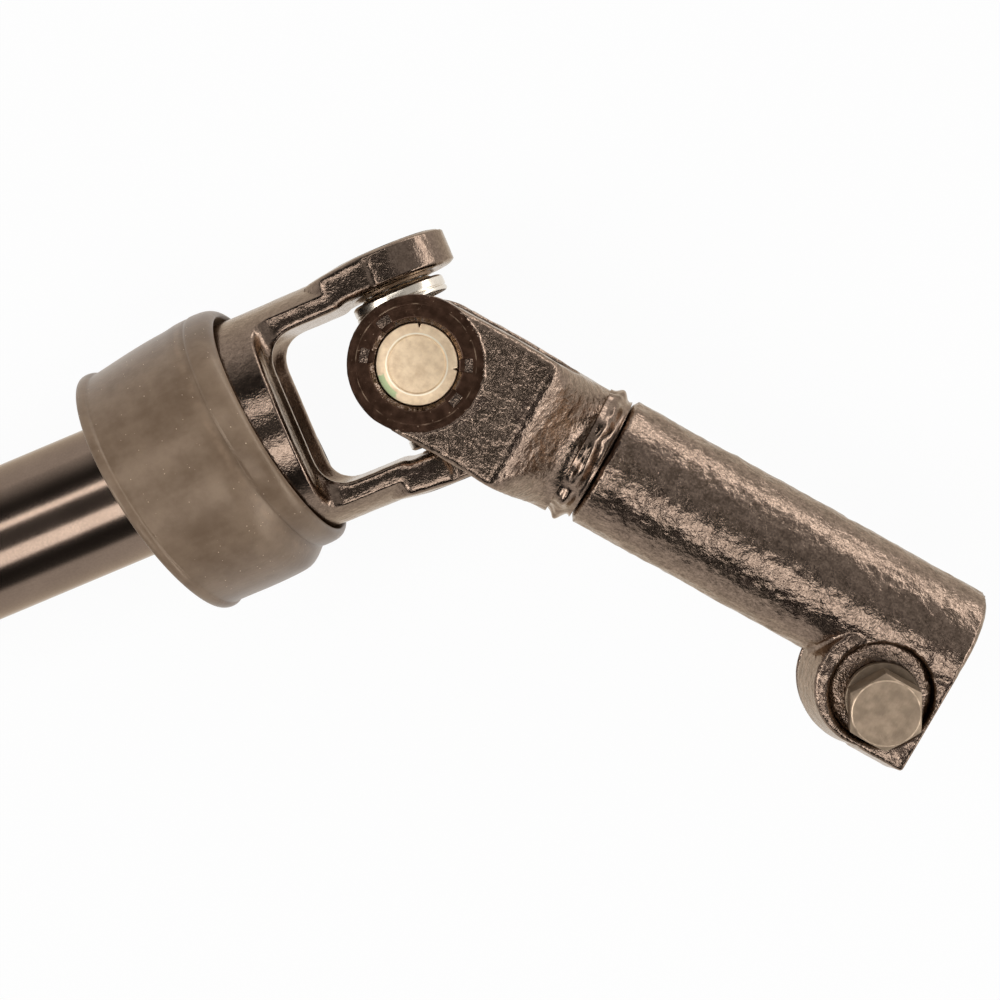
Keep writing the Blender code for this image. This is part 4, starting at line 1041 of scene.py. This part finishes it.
def clampBolt(name, place, body, end, node, washerNode):
    half = coupling["bossHalf"]
    floor = half - coupling["recessDepth"]
    middle = (floor - half) / 2
    holeX = end - coupling["recessBack"] + bolt["shiftAlong"]
    hole = Vector((holeX, -coupling["recessOut"] - bolt["shiftOut"], middle))
    lean = place @ Matrix.Translation(hole * mm) @ turnAbout("X", bolt["tilt"])
    lean = lean @ Matrix.Translation((0, 0, -middle * mm)) @ along((0, 0, 1))
    seat = floor + 0.3
    under = seat + washer["height"] + bolt["lift"]
    head = boltHead(under, under + bolt["head"])
    addPiece(name, head, lean, body, "boltSteel", [node], 24)
    shank = boltShank(under, -half - bolt["overhang"])
    addPiece(name + "Shank", shank, lean, body, "boltSteel", sharp=60)
    leaning = (seat + washer["height"] / 2 - middle) * math.tan(math.radians(bolt["tilt"]))
    ring = springWasher(seat, hole.x, hole.y - leaning + washer["slip"])
    addPiece(name + "Washer", ring, place, body, "boltSteel", [washerNode])


splineLiner("couplingSplines", forkFrame, "lower_coupling", coupling["end"], coupling["depth"])
clampBolt("clampBolt", forkFrame, "lower_coupling", coupling["end"], "pinch_bolt", "bolt_washer")
splineLiner("columnSplines", clampFrame, "upper_clamp", upper["end"], upper["depth"])
clampBolt("columnBolt", clampFrame, "upper_clamp", upper["end"], "upper_pinch_bolt", "upper_bolt_washer")
print("clamps dressed")


# CAD pieces that keep their shape

keptFinishes = {"inner_shaft": "brightSteel", "slip_bushing": "nylon"}
for name, node in frame["nodes"].items():
    finish = keptFinishes.get(name, "brightSteel" if "needles" in name else None)
    if finish:
        node.data.materials.clear()
        node.data.materials.append(finishes[finish])


# Floor, lamps and world

studio = {
    "floorSize": 12.0, "floorDrop": 0.0005, "floorGlow": 0.95, "floorColour": 0.80,
    "zenith": 0.07, "ring": 0.03, "horizon": 0.55, "behind": 0.25, "right": 0.45, "front": 0.15,
}
lamps = {    # aim is (right, up, out) in the picture, turn is the long side's angle in it
    "leftStrip": {
        "aim": (-0.33, 0.205, 1.0), "turn": 22.7, "away": 1.1, "size": (0.70, 0.17), "power": 1.5,
    },
    "lowerSoftbox": {
        "aim": (0.03, -0.62, 1.0), "turn": 22.7, "away": 1.1, "size": (0.60, 0.40), "power": 2.6,
    },
    "rightSoftbox": {
        "aim": (0.92, 0.15, 0.28), "turn": 90.0, "away": 1.3, "size": (1.60, 0.36), "power": 6.0,
    },
    "cornerStrip": {
        "aim": (0.483, 0.876, 0.12), "turn": -28.9, "away": 1.3, "size": (1.10, 0.26), "power": 3.4,
    },
    "shoulderStrip": {
        "aim": (0.874, -0.482, 0.28), "turn": 61.1, "away": 1.3, "size": (1.00, 0.34), "power": 3.4,
    },
    "farFill": {
        "aim": (-1.00, -0.42, 1.0), "turn": 0.0, "away": 1.2, "size": (0.60, 0.60), "power": 6.0,
    },
}


def addLamp(name, lamp):
    right, up, back = (Vector(view[key]) for key in ("right", "up", "back"))
    direction = (right * lamp["aim"][0] + up * lamp["aim"][1] + back * lamp["aim"][2]).normalized()
    data = bpy.data.lights.new(name, "AREA")
    data.shape = "RECTANGLE"
    data.size, data.size_y = lamp["size"]
    data.energy = lamp["power"]
    made = newObject(name, data)
    turn = math.radians(lamp["turn"])
    sideways = right * math.cos(turn) + up * math.sin(turn)
    sideways = (sideways - direction * sideways.dot(direction)).normalized()
    place = Matrix((sideways, direction.cross(sideways), direction)).transposed().to_4x4()
    place.translation = joints["lower_bend"] + direction * lamp["away"]
    made.matrix_world = place


def backgroundRays(start):
    # 1 for the rays that show the background: seen directly, in metal or through glass
    path = start.node("ShaderNodeLightPath").socket.node.outputs
    kinds = ("Camera", "Glossy", "Transmission")
    seen, mirrored, through = (Signal(start.tree, path[f"Is {kind} Ray"]) for kind in kinds)
    return seen.math("MAXIMUM", mirrored).math("MAXIMUM", through)


def whiteFloor():
    made, start = emptyMaterial("whiteFloor")
    seen = backgroundRays(start)
    matte = start.node("ShaderNodeBsdfDiffuse", None, {"Color": colour((studio["floorColour"],) * 3)})
    glow = start.node("ShaderNodeEmission", None, {"Color": colour((1.0, 1.0, 1.0)), "Strength": 1.0})
    mixed = start.node("ShaderNodeMixShader", None, {0: seen * studio["floorGlow"], 1: matte, 2: glow})
    mixed.toOutput("ShaderNodeOutputMaterial")
    return made


half = studio["floorSize"] / 2
corners = [(-half, -half, 0), (half, -half, 0), (half, half, 0), (-half, half, 0)]
floorMesh = bpy.data.meshes.new("floor")
floorMesh.from_pydata(corners, [], [(0, 1, 2, 3)])
floorMesh.materials.append(whiteFloor())
floor = newObject("floor", floorMesh)
floor.location.z = -studio["floorDrop"]
for name, lamp in lamps.items():
    addLamp(name, lamp)

world = bpy.data.worlds.new("studioWorld")
bpy.context.scene.world = world
world.use_nodes = True
world.node_tree.nodes.clear()
sky = Signal(world.node_tree)
x, y, z = sky.node("ShaderNodeTexCoord", output=0).parts()
frontShade = y.between(-0.85, -0.10) * (1 - studio["front"]) + studio["front"]
level = z.between(0.62, 0.0) * studio["horizon"] * frontShade
level = level + z.between(0.80, 0.95) * studio["zenith"] + studio["ring"]
level = level + y.between(0.15, 0.75) * z.between(0.75, 0.30) * studio["behind"]
level = level + x.between(0.08, 0.32) * y.between(-0.55, -0.15) * studio["right"]
whiteRound = backgroundRays(sky) * z.between(0.30, 0.12)    # white all round the floor
level = level.math("MAXIMUM", whiteRound)
backdrop = sky.node("ShaderNodeBackground", None, {"Color": colour((1.0, 1.0, 1.0)), "Strength": level})
backdrop.toOutput("ShaderNodeOutputWorld")
bpy.context.scene.view_settings.view_transform = "Standard"
print("studio set")
